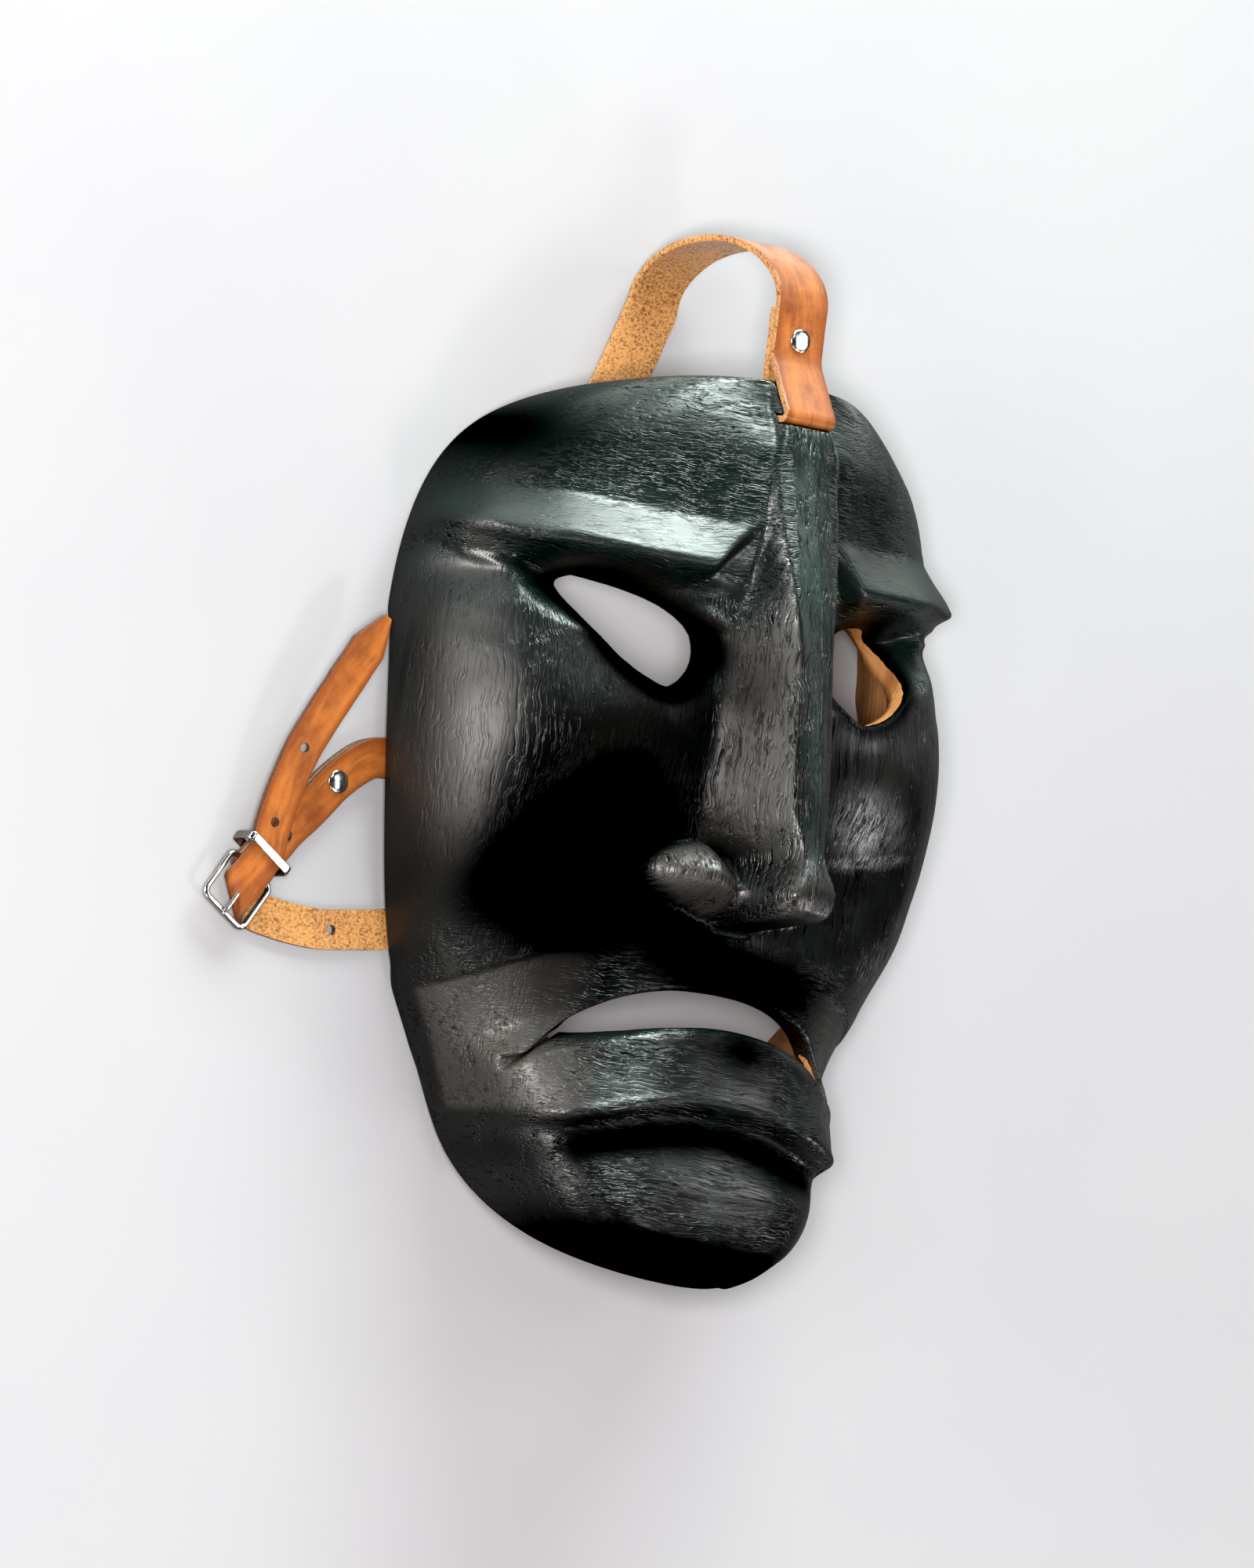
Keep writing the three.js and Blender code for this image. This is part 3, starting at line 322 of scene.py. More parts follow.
def alar_union(z, a, y):
    """The side lobe joined to the nose, softly above and crisply below"""
    share = alar_share(a, y)
    lobe = ALAR_BASE + np.where(share > 0, ALAR_HIGH * np.sqrt(np.abs(share)), 30 * share)
    soft = 1 + 7 * ease(-18, -4, y)
    return np.maximum(z, (z + lobe + np.hypot(z - lobe, soft)) / 2 - 0.5 * soft * (1 - bell(z - lobe, 14)))


def mouth_pad(a, y):
    """How far a point is below the upper edge of the flat pad beside the mouth"""
    return -44 - 6 * ((a - 45) / 22) ** 2 - y


def lid_crest(a, y):
    """How far a point is above the line of the eyelid"""
    return y - 81 + 0.0075 * np.maximum(0, 60 - a) ** 2


def carve(x, y, plain):
    """Brows, eye hollows, cheeks, ridge and nose, lips and chin crease on top of the plain bowl"""
    a = np.abs(x)

    # Brow: a sharp crest, blunt at its inner end, and the swelling over the ridge
    below = brow_line(a) - y
    rise, fall = np.maximum(0, 1 + below / 16), 1 - ease(-3, 10, below)
    round_off = 0.12 + 0.5 * ease(62, 92, a)
    crest = np.maximum(0, rise + fall - np.hypot(rise - fall, round_off)) / 2
    blunt = ease(-3.5, 3.5, a - 14 - 0.76 * np.clip(104 - y, 0, 24))
    z = plain + blunt * (11 + ease(30, 80, a)) * crest
    z += 6 * (1 - ease(9, 44, a)) * ease(84, 104, y) * (1 - ease(126, 146, y))
    shift = np.sign(x) * ease(70, 98, a) * 4.5 * bell(-below - 1, 7)

    # Eye hollow, lid, and the folds at the brow's outer end
    lid = below + 0.25 * np.maximum(0, a - 40) - 0.3 * np.maximum(0, 40 - a)
    socket = ease(1, 12, below) * (1 - ease(14, 38, lid)) * ease(10, 26, a) * (1 - ease(74, 98, a))
    z -= socket * (6 + 20 * bell(a - 60, 24))
    z += 3 * bell(lid_crest(a, y), 4) * ease(14, 24, a) * (1 - ease(64, 78, a))
    fold = bell(y - 77 - 0.44 * (a - 74), 1.5) * ease(68, 80, a)
    fold = fold + 0.8 * bell(y - 88 - 0.3 * (a - 85), 1.3) * ease(80, 90, a)
    z += fold
    shift += np.sign(x) * (ease(88, 96, a) * fold - 3.5 * ease(80, 95, a) * bell(y - 76, 9))

    # Sunken cheek and the bone above it
    z -= 8 * (1 - ease(0.1, 1.15, np.hypot((a - 50) / 26, (y + 2) / 36)))
    z += 3 * bell(a - 80, 16) * bell(y - 34, 26)
    z += 5 * bell(a - 50, 17) * bell(y - 25, 22) * ease(-2, 3, y - 2 + 0.2 * (64 - a))

    # Ridge and nose
    half = profile(ROOF_HALF, y)
    fall = profile(ROOF_FALL, y) * (np.hypot(np.minimum(a, half), 0.7) - 0.7)
    out = np.clip((a - half) / (profile(NOSE_FOOT, y) - half), 0, 1)
    side = (1 - out) ** (1.3 + 0.3 * ease(60, 100, y))
    z += np.maximum(0, profile(CREST, y) - fall - z) * side
    z = np.where(alar_share(a, y) > -1, alar_union(z, a, y), z)

    # Lower lip, upper lip, the pads beside the mouth and the crease over the chin
    lip = ease(-3, 3, y - lip_foot(a)) * (1 - ease(-4, 12, y - lower_lip(a)))
    z += lip * (8 + 3 * (a / 60) ** 2) * (1 - ease(64, 82, a))
    z += 0.9 * bell(y - lip_foot(a) - 4, 1.5) * (1 - ease(60, 80, a))
    muzzle = (1 - ease(-4, 14, y + 38 + 8 * (a / 60) ** 2)) * ease(-10, 2, y - upper_lip(a))
    z += muzzle * 3 * (1 - ease(60, 84, a))
    pad = ease(-1.5, 1.5, mouth_pad(a, y)) * ease(-1, 4, y - lip_foot(a) - 2)
    z -= 1.8 * pad * ease(38, 54, a) * (1 - ease(80, 88, a))
    z -= 1.2 * bell(y - lip_foot(a) + 8, 7) * (1 - ease(60, 80, a))
    return z, shift


def face_at(x, y):
    """Height of the front over a point, its sideways shift, and whether the point is inside the outline"""
    reach, edge = rim_at(np.arctan2(y - CENTRE_Y, x))
    share = np.hypot(x, y - CENTRE_Y) / reach
    power = profile(BOXINESS, y)
    wall = np.maximum(0, 1 - np.minimum(1, share) ** power) ** (1 / power)
    plain = edge + (profile(FRONT, y) - edge) * wall
    cut, shift = carve(x, y, plain)
    fade = ease(0, 0.45, wall)
    return plain + (cut - plain) * fade, shift * fade, share <= 1.0001


def hollow_at(x, y):
    """Height of the hollow, which keeps a ball of the wall thickness away from the front"""
    here, _, inside = face_at(x, y)
    wall = WALL + RIM_EXTRA * (1 - ease(10, 60, np.where(inside, here, 0)))
    low = np.where(inside, here - wall, 0)
    for ring in (0.25, 0.5, 0.75, 1):
        drop = wall * math.sqrt(1 - ring * ring)
        for turn in np.arange(16) * math.pi / 8:
            near, _, ok = face_at(x + wall * ring * math.cos(turn), y + wall * ring * math.sin(turn))
            low = np.where(ok, np.minimum(low, near - drop), low)
    return low


def disc_point(u, v):
    """Bends a square onto a round disc: distance from its middle, and direction"""
    a, b = u * np.sqrt(1 - v * v / 2), v * np.sqrt(1 - u * u / 2)
    return np.minimum(1, np.hypot(a, b)), np.arctan2(b, a)


def outer_points(u, v):
    """The front, from a square grid; the rim's outer edge is rounded off"""
    r, turn = disc_point(np.sign(u) * np.abs(u) ** 1.2, v)
    reach, edge = rim_at(turn)
    reach = reach * (r * 1.25 - r ** 5 / 4)
    x, y = reach * np.cos(turn), CENTRE_Y + reach * np.sin(turn)
    z, shift, _ = face_at(x * INSIDE_RIM, CENTRE_Y + (y - CENTRE_Y) * INSIDE_RIM)
    z = np.where(r > INSIDE_RIM, edge, z)
    proud = 0.9 * ease(4.5, 6.5, z - edge) * (1 - ease(16, 34, z - edge)) * (1 - ease(-62, -48, y))
    x, y = x + shift + proud * np.cos(turn), y + proud * np.sin(turn)
    return np.stack([x, y, edge + np.hypot(np.maximum(0, z - edge), 1.1 * ease(0.9, 0.97, r))], -1), r


def inner_points(u, v):
    """The hollow, from a square grid"""
    r, turn = disc_point(u, v)
    reach, edge = rim_at(turn)
    step = 0.01
    low, high = rim_at(turn - step)[0], rim_at(turn + step)[0]
    tx = high * np.cos(turn + step) - low * np.cos(turn - step)
    ty = high * np.sin(turn + step) - low * np.sin(turn - step)
    wall = (WALL + RIM_EXTRA * (1 - ease(10, 60, edge))) / np.hypot(tx, ty)
    share = r * 1.25 - r ** 5 / 4
    x = (reach * np.cos(turn) - wall * ty) * share
    y = CENTRE_Y + (reach * np.sin(turn) + wall * tx) * share
    z = np.where(r > INSIDE_RIM, edge, np.maximum(edge * share, hollow_at(x, y)))
    return np.stack([x, y, z], -1), r


# ---------------------------------------------------------------- holes in the face

def smooth_line(points, closed, steps):
    """A centripetal curve through points"""
    pts = [np.array(p, float) for p in points]
    count = len(pts)
    line = []
    for i in range(count if closed else count - 1):
        p1, p2 = pts[i], pts[(i + 1) % count]
        p0 = pts[i - 1] if closed or i else 2 * p1 - p2
        p3 = pts[(i + 2) % count] if closed or i + 2 < count else 2 * p2 - p1
        d0, d1, d2 = [np.linalg.norm(b - a) ** 0.5 for a, b in ((p0, p1), (p1, p2), (p2, p3))]
        t1 = ((p1 - p0) / d0 - (p2 - p0) / (d0 + d1) + (p2 - p1) / d1) * d1
        t2 = ((p2 - p1) / d1 - (p3 - p1) / (d1 + d2) + (p3 - p2) / d2) * d1
        w = np.linspace(0, 1, steps, endpoint=False)[:, None]
        bend, twist = 3 * p2 - 3 * p1 - 2 * t1 - t2, 2 * p1 - 2 * p2 + t1 + t2
        line.append(p1 + t1 * w + bend * w ** 2 + twist * w ** 3)
    if not closed:
        line.append(pts[-1][None])
    return np.vstack(line)


def eye_ring(side):
    """Outline of an eye hole, on the side of that sign"""
    return smooth_line([(side * x, y) for x, y in EYE], True, 14)


def mouth_ring(half):
    """Outline of the mouth, whose corners stay a little open"""
    x = -half * np.cos(np.linspace(0, math.pi, 90))
    low = np.minimum(lower_lip(x), upper_lip(x) - 1.2)
    high = np.maximum(upper_lip(x), lower_lip(x) + 1.2)
    return np.vstack([np.stack([x, low], -1), np.stack([x, high], -1)[::-1]])


class Opening:
    """A closed outline cut down through the face, a little wider at the back

    back_half is half the mouth's width at the back, where it is narrower than in front"""

    def __init__(self, ring, flare, back_half=None):
        self.ring = ring
        self.flare = flare
        self.centre = ring.mean(0)
        self.narrow = back_half / MOUTH_HALF if back_half else 1
        self.back = Opening(mouth_ring(back_half), flare) if back_half else self
        self.back.centre = self.centre

    def sunk(self, points, z, share):
        """Points on the outline carried down to new heights, that share of the way to the back"""
        grow = (self.scale(z) / self.scale(points[:, 2]))[:, None]
        x = points[:, 0] * (1 + (self.narrow - 1) * share)
        fall = (upper_lip(x) + lower_lip(x) - upper_lip(points[:, 0]) - lower_lip(points[:, 0])) / 2
        flat = np.stack([x, points[:, 1] + (fall if self.narrow < 1 else 0)], -1)
        return np.hstack([self.centre + (flat - self.centre) * grow, z[:, None]])

    def scale(self, z):
        return self.flare + (z - FLARE_LOW) / (FLARE_HIGH - FLARE_LOW) * (2 - 2 * self.flare)

    def nearest(self, points):
        """Signed distance out from the edge, and the closest point on it, at each point's height"""
        scale = self.scale(points[:, 2])[:, None]
        flat = self.centre + (points[:, :2] - self.centre) / scale
        a = self.ring
        b = np.roll(a, -1, 0)
        ab = b - a
        t = np.clip(((flat[:, None] - a) * ab).sum(-1) / (ab * ab).sum(-1), 0, 1)
        foot = a + t[..., None] * ab
        gap = np.hypot(*(flat[:, None] - foot).transpose(2, 0, 1))
        k = gap.argmin(1)
        rows = np.arange(len(flat))
        level = (a[:, 1] > flat[:, 1, None]) != (b[:, 1] > flat[:, 1, None])
        rise = np.where(np.abs(ab[:, 1]) < 1e-12, 1e-12, ab[:, 1])
        cross = flat[:, 0, None] < ab[:, 0] * (flat[:, 1, None] - a[:, 1]) / rise + a[:, 0]
        inside = (level & cross).sum(1) % 2 == 1
        return np.where(inside, -1, 1) * gap[rows, k], self.centre + (foot[rows, k] - self.centre) * scale


OPENINGS = [Opening(eye_ring(-1), EYE_FLARE), Opening(eye_ring(1), EYE_FLARE),
            Opening(mouth_ring(MOUTH_HALF), MOUTH_FLARE, MOUTH_BACK_HALF)]


def coords(verts):
    return np.array([v.co for v in verts]) if verts else np.zeros((0, 3))


def place(verts, points):
    for v, p in zip(verts, points):
        v.co = p


def carved_side(bm, cells, mapping, height, inner, lip):
    """One side of the shell: a grid bent onto the face, its holes cut on their outlines"""
    edge_mark = bm.verts.layers.int["edge_mark"]
    bare = bm.verts.layers.float["bare"]
    verts = bmesh.ops.create_grid(bm, x_segments=cells, y_segments=cells, size=1)["verts"]
    flat = coords(verts)
    points, r = mapping(flat[:, 0], flat[:, 1])
    base = HOLLOW_LOOPS if inner else 0
    marks = np.where(r > INSIDE_RIM, RIM_LOOP + base, 0)
    number = {v: k for k, v in enumerate(verts)}
    edges = np.array([[number[v] for v in e.verts] for e in {e for v in verts for e in v.link_edges}])
    faces = list({f for v in verts for f in v.link_faces})
    doomed = set()

    # Points next to an outline move onto it, points within it go
    openings = [opening.back if inner else opening for opening in OPENINGS]
    for k, opening in enumerate(openings):
        reach = np.abs(opening.ring - opening.centre).max(0) * 1.2 + 6
        near = np.nonzero((np.abs(points[:, :2] - opening.centre) < reach).all(1))[0]
        gap = np.full(len(points), FAR)
        foot = points[:, :2].copy()
        gap[near], foot[near] = opening.nearest(points[near])
        crossing = edges[(gap[edges[:, 0]] < 0) != (gap[edges[:, 1]] < 0)]
        first = np.abs(gap[crossing[:, 0]]) <= np.abs(gap[crossing[:, 1]])
        onto = np.unique(np.where(first, crossing[:, 0], crossing[:, 1]))
        for _ in range(3):
            points[onto, :2] = opening.nearest(points[onto])[1]
            points[onto, 2] = height(points[onto, 0], points[onto, 1])
        marks[onto] = k + 1 + base
        if lip:
            gap[onto] = 0
            round_off = (gap >= 0) & (gap < lip)
            points[round_off, 2] -= lip - np.sqrt(lip * lip - (lip - gap[round_off]) ** 2)
        doomed |= {verts[i] for i in np.nonzero(gap < 0)[0]} - {verts[i] for i in onto}
    place(verts, points)
    for v, mark in zip(verts, marks):
        v[edge_mark] = int(mark)
        v[bare] = 1.0 if inner else 0.0

    # Cells that the outline crosses are cut along it, and what is left within the hole goes
    marked = [v for v in verts if v[edge_mark] % HOLLOW_LOOPS in (1, 2, 3)]
    bmesh.ops.connect_verts(bm, verts=marked)
    bmesh.ops.delete(bm, geom=list(doomed), context="VERTS")
    leftover = []
    for v in marked:
        for f in v.link_faces:
            if all(w[edge_mark] == v[edge_mark] for w in f.verts):
                middle = np.array(f.calc_center_median())[None]
                if openings[v[edge_mark] % HOLLOW_LOOPS - 1].nearest(middle)[0][0] < 0:
                    leftover.append(f)
    bmesh.ops.delete(bm, geom=list(set(leftover)), context="FACES")
    bmesh.ops.delete(bm, geom=[e for e in bm.edges if e.is_wire], context="EDGES")
    return [v for v in verts if v.is_valid]


def open_loop(bm, mark):
    """The boundary edges between points with that mark"""
    edge_mark = bm.verts.layers.int["edge_mark"]
    return [e for e in bm.edges if e.is_boundary and all(v[edge_mark] == mark for v in e.verts)]


def step_out(bm, edges, move):
    """Extrudes a loop of edges and moves the new points; gives the new loop"""
    made = bmesh.ops.extrude_edge_only(bm, edges=edges)["geom"]
    verts = [g for g in made if isinstance(g, bmesh.types.BMVert)]
    place(verts, move(coords(verts)))
    return [g for g in made if isinstance(g, bmesh.types.BMEdge)], verts


def hand_carved(points, depth, inner):
    """Knife facets and strokes: how far each point of a side moves along its normal"""
    x, y = points[:, 0], points[:, 1] - CENTRE_Y
    keep = 1 - ease(0.93, 0.99, np.hypot(x, y) / rim_at(np.arctan2(y, x))[0])
    if inner:
        cells = [noise.voronoi(Vector((x / 17, y / 9, z / 12)))[0] for x, y, z in points]
        return depth * 3.4 * (np.array([c[0] for c in cells]) ** 1.5 - 0.25) * keep
    level = stroke_level(points)
    across = np.array([noise.noise(Vector((x / 22, y / 2.3, z / 6))) for x, y, z in points])
    along = np.array([noise.noise(Vector((x / 2.3, y / 24, z / 2.6 + 7))) for x, y, z in points])
    lumps = np.array([noise.noise(Vector((x / 15, y / 15, z / 15 + 3))) for x, y, z in points])
    marks = (across * level + along * (1 - level)) * (1 - 0.8 * calm_share(points[:, 0], points[:, 1]))
    return depth * (marks + 2 * lumps + FOLD_HEIGHT * brow_folds(points)) * keep


def brow_folds(points):
    """1 on the thin folds under the outer end of each brow"""
    a = np.abs(points[:, 0])
    folds = sum(bell(points[:, 1] - np.interp(a, outward, upward), FOLD_WIDTH)
                for outward, upward in FOLDS)
    return folds * ease(72, 82, a)


def stroke_level(points):
    """1 where the knife went across the face, 0 where it went down the face"""
    x, y, a = points[:, 0], points[:, 1], np.abs(points[:, 0])
    forehead = ease(72, 84, y) * ease(6, 9, a)
    mouth = 1 - ease(-42, -30, y)
    return np.clip(np.maximum(forehead, mouth * (1 - 0.6 * ease(52, 70, a))), 0, 1)


def calm_share(x, y):
    """How smooth the knife left the upper planes of the brows and the side walls"""
    a = np.abs(x)
    below = brow_line(a) - y
    brow = 0.85 * ease(-17, -12, below) * (1 - ease(-1, 2, below)) * ease(12, 20, a)
    return np.maximum(brow, 0.75 * ease(80, 90, a) * ease(4, 14, below))


def carved_shell(sizes):
    """Front and hollow, joined by the walls of the holes and by the rim"""
    bm = bmesh.new()
    edge_mark = bm.verts.layers.int.new("edge_mark")
    bare = bm.verts.layers.float.new("bare")
    outer = carved_side(bm, sizes.front_cells, outer_points, lambda x, y: face_at(x, y)[0], False, LIP)
    inner = carved_side(bm, sizes.hollow_cells, inner_points, hollow_at, True, 0)
    bmesh.ops.reverse_faces(bm, faces=list({f for v in inner for f in v.link_faces}))

    # The knife's marks
    bm.normal_update()
    for verts, is_inner in ((outer, False), (inner, True)):
        points = coords(verts)
        normals = np.array([v.normal for v in verts])
        moved = hand_carved(points, sizes.knife_depth / MM, is_inner)
        place(verts, points + normals * moved[:, None])

    # Walls of the holes; the right eye hole's shows bare wood
    for k, opening in enumerate(OPENINGS):
        loop = open_loop(bm, k + 1)
        for share, bareness in ((0.3, 0.25), (0.5, 0.75)) if k == 1 else ((0.5, 0.0), (0.93, 0.2)):
            def down(points):
                bottom = hollow_at(points[:, 0] * opening.narrow, points[:, 1])
                return opening.sunk(points, points[:, 2] + (bottom - points[:, 2]) * share, share)
            loop, verts = step_out(bm, loop, down)
            for v in verts:
                v[bare] = max(bareness, 0.75 * float(ease(44, 50, v.co.x)))
        bmesh.ops.bridge_loops(bm, edges=loop + open_loop(bm, k + 1 + HOLLOW_LOOPS))

    # The rim, rounded over to its back
    loop = open_loop(bm, RIM_LOOP)

    def under(points, inset, level):
        turn = np.arctan2(points[:, 1] - CENTRE_Y, points[:, 0])
        reach, edge = rim_at(turn)
        reach = reach - inset
        return np.stack([reach * np.cos(turn), CENTRE_Y + reach * np.sin(turn), edge + level], -1)

    for inset, level, bareness in ((0.35, 0.35, 0.0), (1.2, 0.0, 0.2), (3.2, 0.0, 0.75)):
        loop, verts = step_out(bm, loop, lambda points: under(points, inset, level))
        for v in verts:
            v[bare] = bareness
    bmesh.ops.bridge_loops(bm, edges=loop + open_loop(bm, RIM_LOOP + HOLLOW_LOOPS))
    bmesh.ops.recalc_face_normals(bm, faces=bm.faces[:])
    return bm


# ---------------------------------------------------------------- straps

class Route:
    """A smooth line on the floor, measured along its length"""

    def __init__(self, points):
        flat = smooth_line([p[:2] for p in points], False, 90)
        self.line = np.hstack([flat, np.zeros((len(flat), 1))])
        steps = np.linalg.norm(np.diff(self.line, axis=0), axis=1)
        self.run = np.concatenate([[0], np.cumsum(steps)])
        self.length = self.run[-1]

    def at(self, h, z=0.0):
        past = h - np.clip(h, 0, self.length)
        p = np.array([np.interp(h, self.run, self.line[:, k]) for k in range(3)])
        return p + (self.along(h) * past if past else 0) + np.array((0, 0, z))

    def along(self, h):
        h = np.clip(h, 0, self.length)
        a, b = max(h - 0.4, 0), min(h + 0.4, self.length)
        d = np.array([np.interp(b, self.run, self.line[:, k]) - np.interp(a, self.run, self.line[:, k])
                      for k in range(3)])
        return d / np.linalg.norm(d)


def heading(degrees):
    """A direction on the floor"""
    return np.array((math.cos(math.radians(degrees)), math.sin(math.radians(degrees)), 0))


def bent_path(start, angle, moves):
    """A path in an upright plane, drawn by straight runs and bends; angle 0 is outward, 90 is up"""
    h, z = start
    path = [(h, z, angle)]
    for kind, size, turn in moves:
        count = max(1, math.ceil(size / 1.1)) if kind == "run" else max(3, math.ceil(abs(turn) / 10))
        for _ in range(count):
            bend = turn / count
            chord = size / count if kind == "run" else 2 * size * math.sin(math.radians(abs(bend) / 2))
            h += chord * math.cos(math.radians(angle + bend / 2))
            z += chord * math.sin(math.radians(angle + bend / 2))
            angle += bend
            path.append((h, z, angle))
    return path


def laid_out(path, route):
    """Lays an upright path along a route: each place and the direction across the strap there"""
    return [(route.at(h, z), np.cross(UP, route.along(h))) for h, z, _ in path]


def buckle_point(d, left=0.0, z=0.0):
    """A place seen from the buckle's far bar: that far along its axis, to the left of it and up"""
    axis, across = heading(AXIS), heading(AXIS + 90)
    return np.array((*FAR_BAR, 0)) + axis * d + across * left + np.array((0, 0, z))


# The slots in the side walls, and the left strap's way from the left one to the buckle
RIM_SIDE_REACH, RIM_SIDE_Z = rim_at(math.atan2(SIDE_Y - CENTRE_Y, 100))
SLOT_H = RIM_SIDE_REACH - LOOP_START - OUTER_WOOD - SLOT_GAP / 2
LEAN_IN, LEAN_UP = math.sin(SIDE_SLOT_LEAN), math.cos(SIDE_SLOT_LEAN)
CREST_H, CREST_Z = SLOT_H - LEAN_IN * CREST_S, RIM_SIDE_Z + LEAN_UP * CREST_S
TOP_LEG = CREST_Z - TURN_R * LEAN_IN
NEAR_BAR = buckle_point(FRAME_LONG)
LEFT_ROUTE = Route([(-84, 13), (-94, 13), (-104, 11.6), (-115, 3.5), (-126, -9), (-136.5, -19.5),
                    buckle_point(FRAME_LONG + 7), NEAR_BAR])


def left_rise(h):
    """Height of the left strap's upper layer"""
    return HIGH + (FRAME_Z + FOLD_ROUND - HIGH) * ease(56, LEFT_ROUTE.length - 5, h)


def left_under(h):
    """Height of the layer that comes back from the buckle"""
    close = 1 - ease(0, 8, LEFT_ROUTE.length - h)
    return max(FLOOR_RUN, left_rise(h) - LAYER - (2 * FOLD_ROUND - LAYER) * close)


def left_stations():
    """From the loop in the left wall out to the buckle, round its bar and back under"""
    length = LEFT_ROUTE.length
    inner_leg = CREST_H - TURN_R * (1 + LEAN_UP)
    lean = math.degrees(SIDE_SLOT_LEAN)
    path = bent_path((LEFT_END, LOW), 180, [
        ("run", LEFT_END - inner_leg - FLOOR_BEND_R, 0),
        ("bend", FLOOR_BEND_R, -90),
        ("run", TOP_LEG - LOW - FLOOR_BEND_R, 0),
        ("bend", TURN_R, lean - 180),
        ("run", (CREST_Z - HIGH - MOUTH_BEND_R * (1 - LEAN_IN)) / LEAN_UP, 0),
        ("bend", MOUTH_BEND_R, 90 - lean),
    ])
    path += [(h, float(left_rise(h)), 0) for h in np.arange(18, length - 0.5, 1.1)]
    path += bent_path((length, FRAME_Z + FOLD_ROUND), 0, [("bend", FOLD_ROUND, -180)])
    path += [(h, left_under(h), 180) for h in length - np.arange(1.1, LEFT_BACK + 0.6, 1.1)]
    return laid_out(path, LEFT_ROUTE)


# The right strap's diagonal fold in the buckle: its crease, and where the strap enters and leaves it
CREASE = heading((HEAD_IN + HEAD_OUT) / 2)
BULGE = heading((HEAD_IN + HEAD_OUT) / 2 + 90)
HALF_TURN = math.radians((HEAD_IN - HEAD_OUT) / 2)
ROLL_R = (OVER_Z - FLOOR_RUN) / 2
CREEP = math.pi * ROLL_R / math.tan(HALF_TURN)
FOLD_START = buckle_point(7.4, -0.2) - CREASE * CREEP / 2 - BULGE * ROLL_R
FOLD_END = FOLD_START + CREASE * CREEP


def right_loop():
    """The right strap's loop through the slot in the right wall"""
    up_slot = (CREST_Z - LOW - RIGHT_BEND_R * (1 + LEAN_IN)) / LEAN_UP
    lean = math.degrees(SIDE_SLOT_LEAN)
    return bent_path((RIGHT_END, LOW), 0, [
        ("run", CREST_H + up_slot * LEAN_IN - RIGHT_BEND_R * LEAN_UP - RIGHT_END, 0),
        ("bend", RIGHT_BEND_R, 90 + lean),
        ("run", up_slot, 0),
        ("bend", TURN_R, 180 - lean),
        ("run", TOP_LEG - HIGH - TURN_R, 0),
        ("bend", TURN_R, -90),
    ])


CROSSING = Route([(LOOP_START + right_loop()[-1][0], SIDE_Y), (76, 13), (60, 10), (30, -2), (0, -14),
                  (-30, -25), TIE, (-88, -42.6), (-102, -45), (-114, -46.6), (-127, -46.4),
                  FOLD_START - heading(HEAD_IN) * 9, FOLD_START])
TIP_ROUTE = Route([FOLD_END, FOLD_END + heading(HEAD_OUT) * 9, (-144.2, -17), (-137.8, 8.4),
                   (-126.5, 33), (-113.5, 57.5)])
TIE_H = float(CROSSING.run[np.argmax(CROSSING.line[:, 0] <= TIE[0])])


def cross_height(h):
    """Height of the crossing, which steps down from the loop and up over the top strap's tie"""
    raised = 2 - ease(16, 34, h) - ease(TIE_CLEAR, TIE_CLEAR + 10, abs(h - TIE_H))
    return float(FLOOR_RUN + (HIGH - FLOOR_RUN) * raised)


def tip_height(h):
    return float(OVER_Z + TIP_RISE * ease(14, TIP_ROUTE.length, h))


def right_stations():
    """The flesh side is up on the crossing; the fold in the buckle turns the grain side up on the tip"""
    across = np.array((0, 1.0, 0))
    rows = [(np.array((LOOP_START + h, SIDE_Y, z)), across, 1) for h, z, _ in right_loop()]
    for h in np.linspace(0, CROSSING.length - LEAD, 215)[1:]:
        rows.append((CROSSING.at(h, cross_height(h)), np.cross(CROSSING.along(h), UP), 1))
    wide = 1 / math.sin(HALF_TURN)
    for k in range(25):
        turn = math.pi * k / 24
        at = FOLD_START + CREASE * CREEP * k / 24 + BULGE * ROLL_R * math.sin(turn)
        rows.append((at + UP * (FLOOR_RUN + ROLL_R * (1 - math.cos(turn))), CREASE, wide))
    point = TIP_ROUTE.length - TIP_POINT
    places = [*np.linspace(LEAD, point, 84), *np.linspace(point, TIP_ROUTE.length - 0.5, 13)[1:]]
    for h in places:
        narrow = 1 - max(0, h - point) / (TIP_POINT - 0.5) * 0.78
        rows.append((TIP_ROUTE.at(h, tip_height(h)), np.cross(UP, TIP_ROUTE.along(h)), narrow))
    return rows


# The top strap's two layers over the forehead edge, and its way along the floor
BACK_Z = TOP_EDGE_Z - UNDER_EDGE - GAP - LEATHER / 2
FRONT_Z = BACK_Z + LEATHER + GAP
HOOK_R = LEATHER + GAP
TOP_ROUTE = Route([(-12, TOP_END + 1), (-21, 153), (-50, 82), (-53.5, 30), TIE, (TIE[0], TIE[1] - TIE_HALF)])


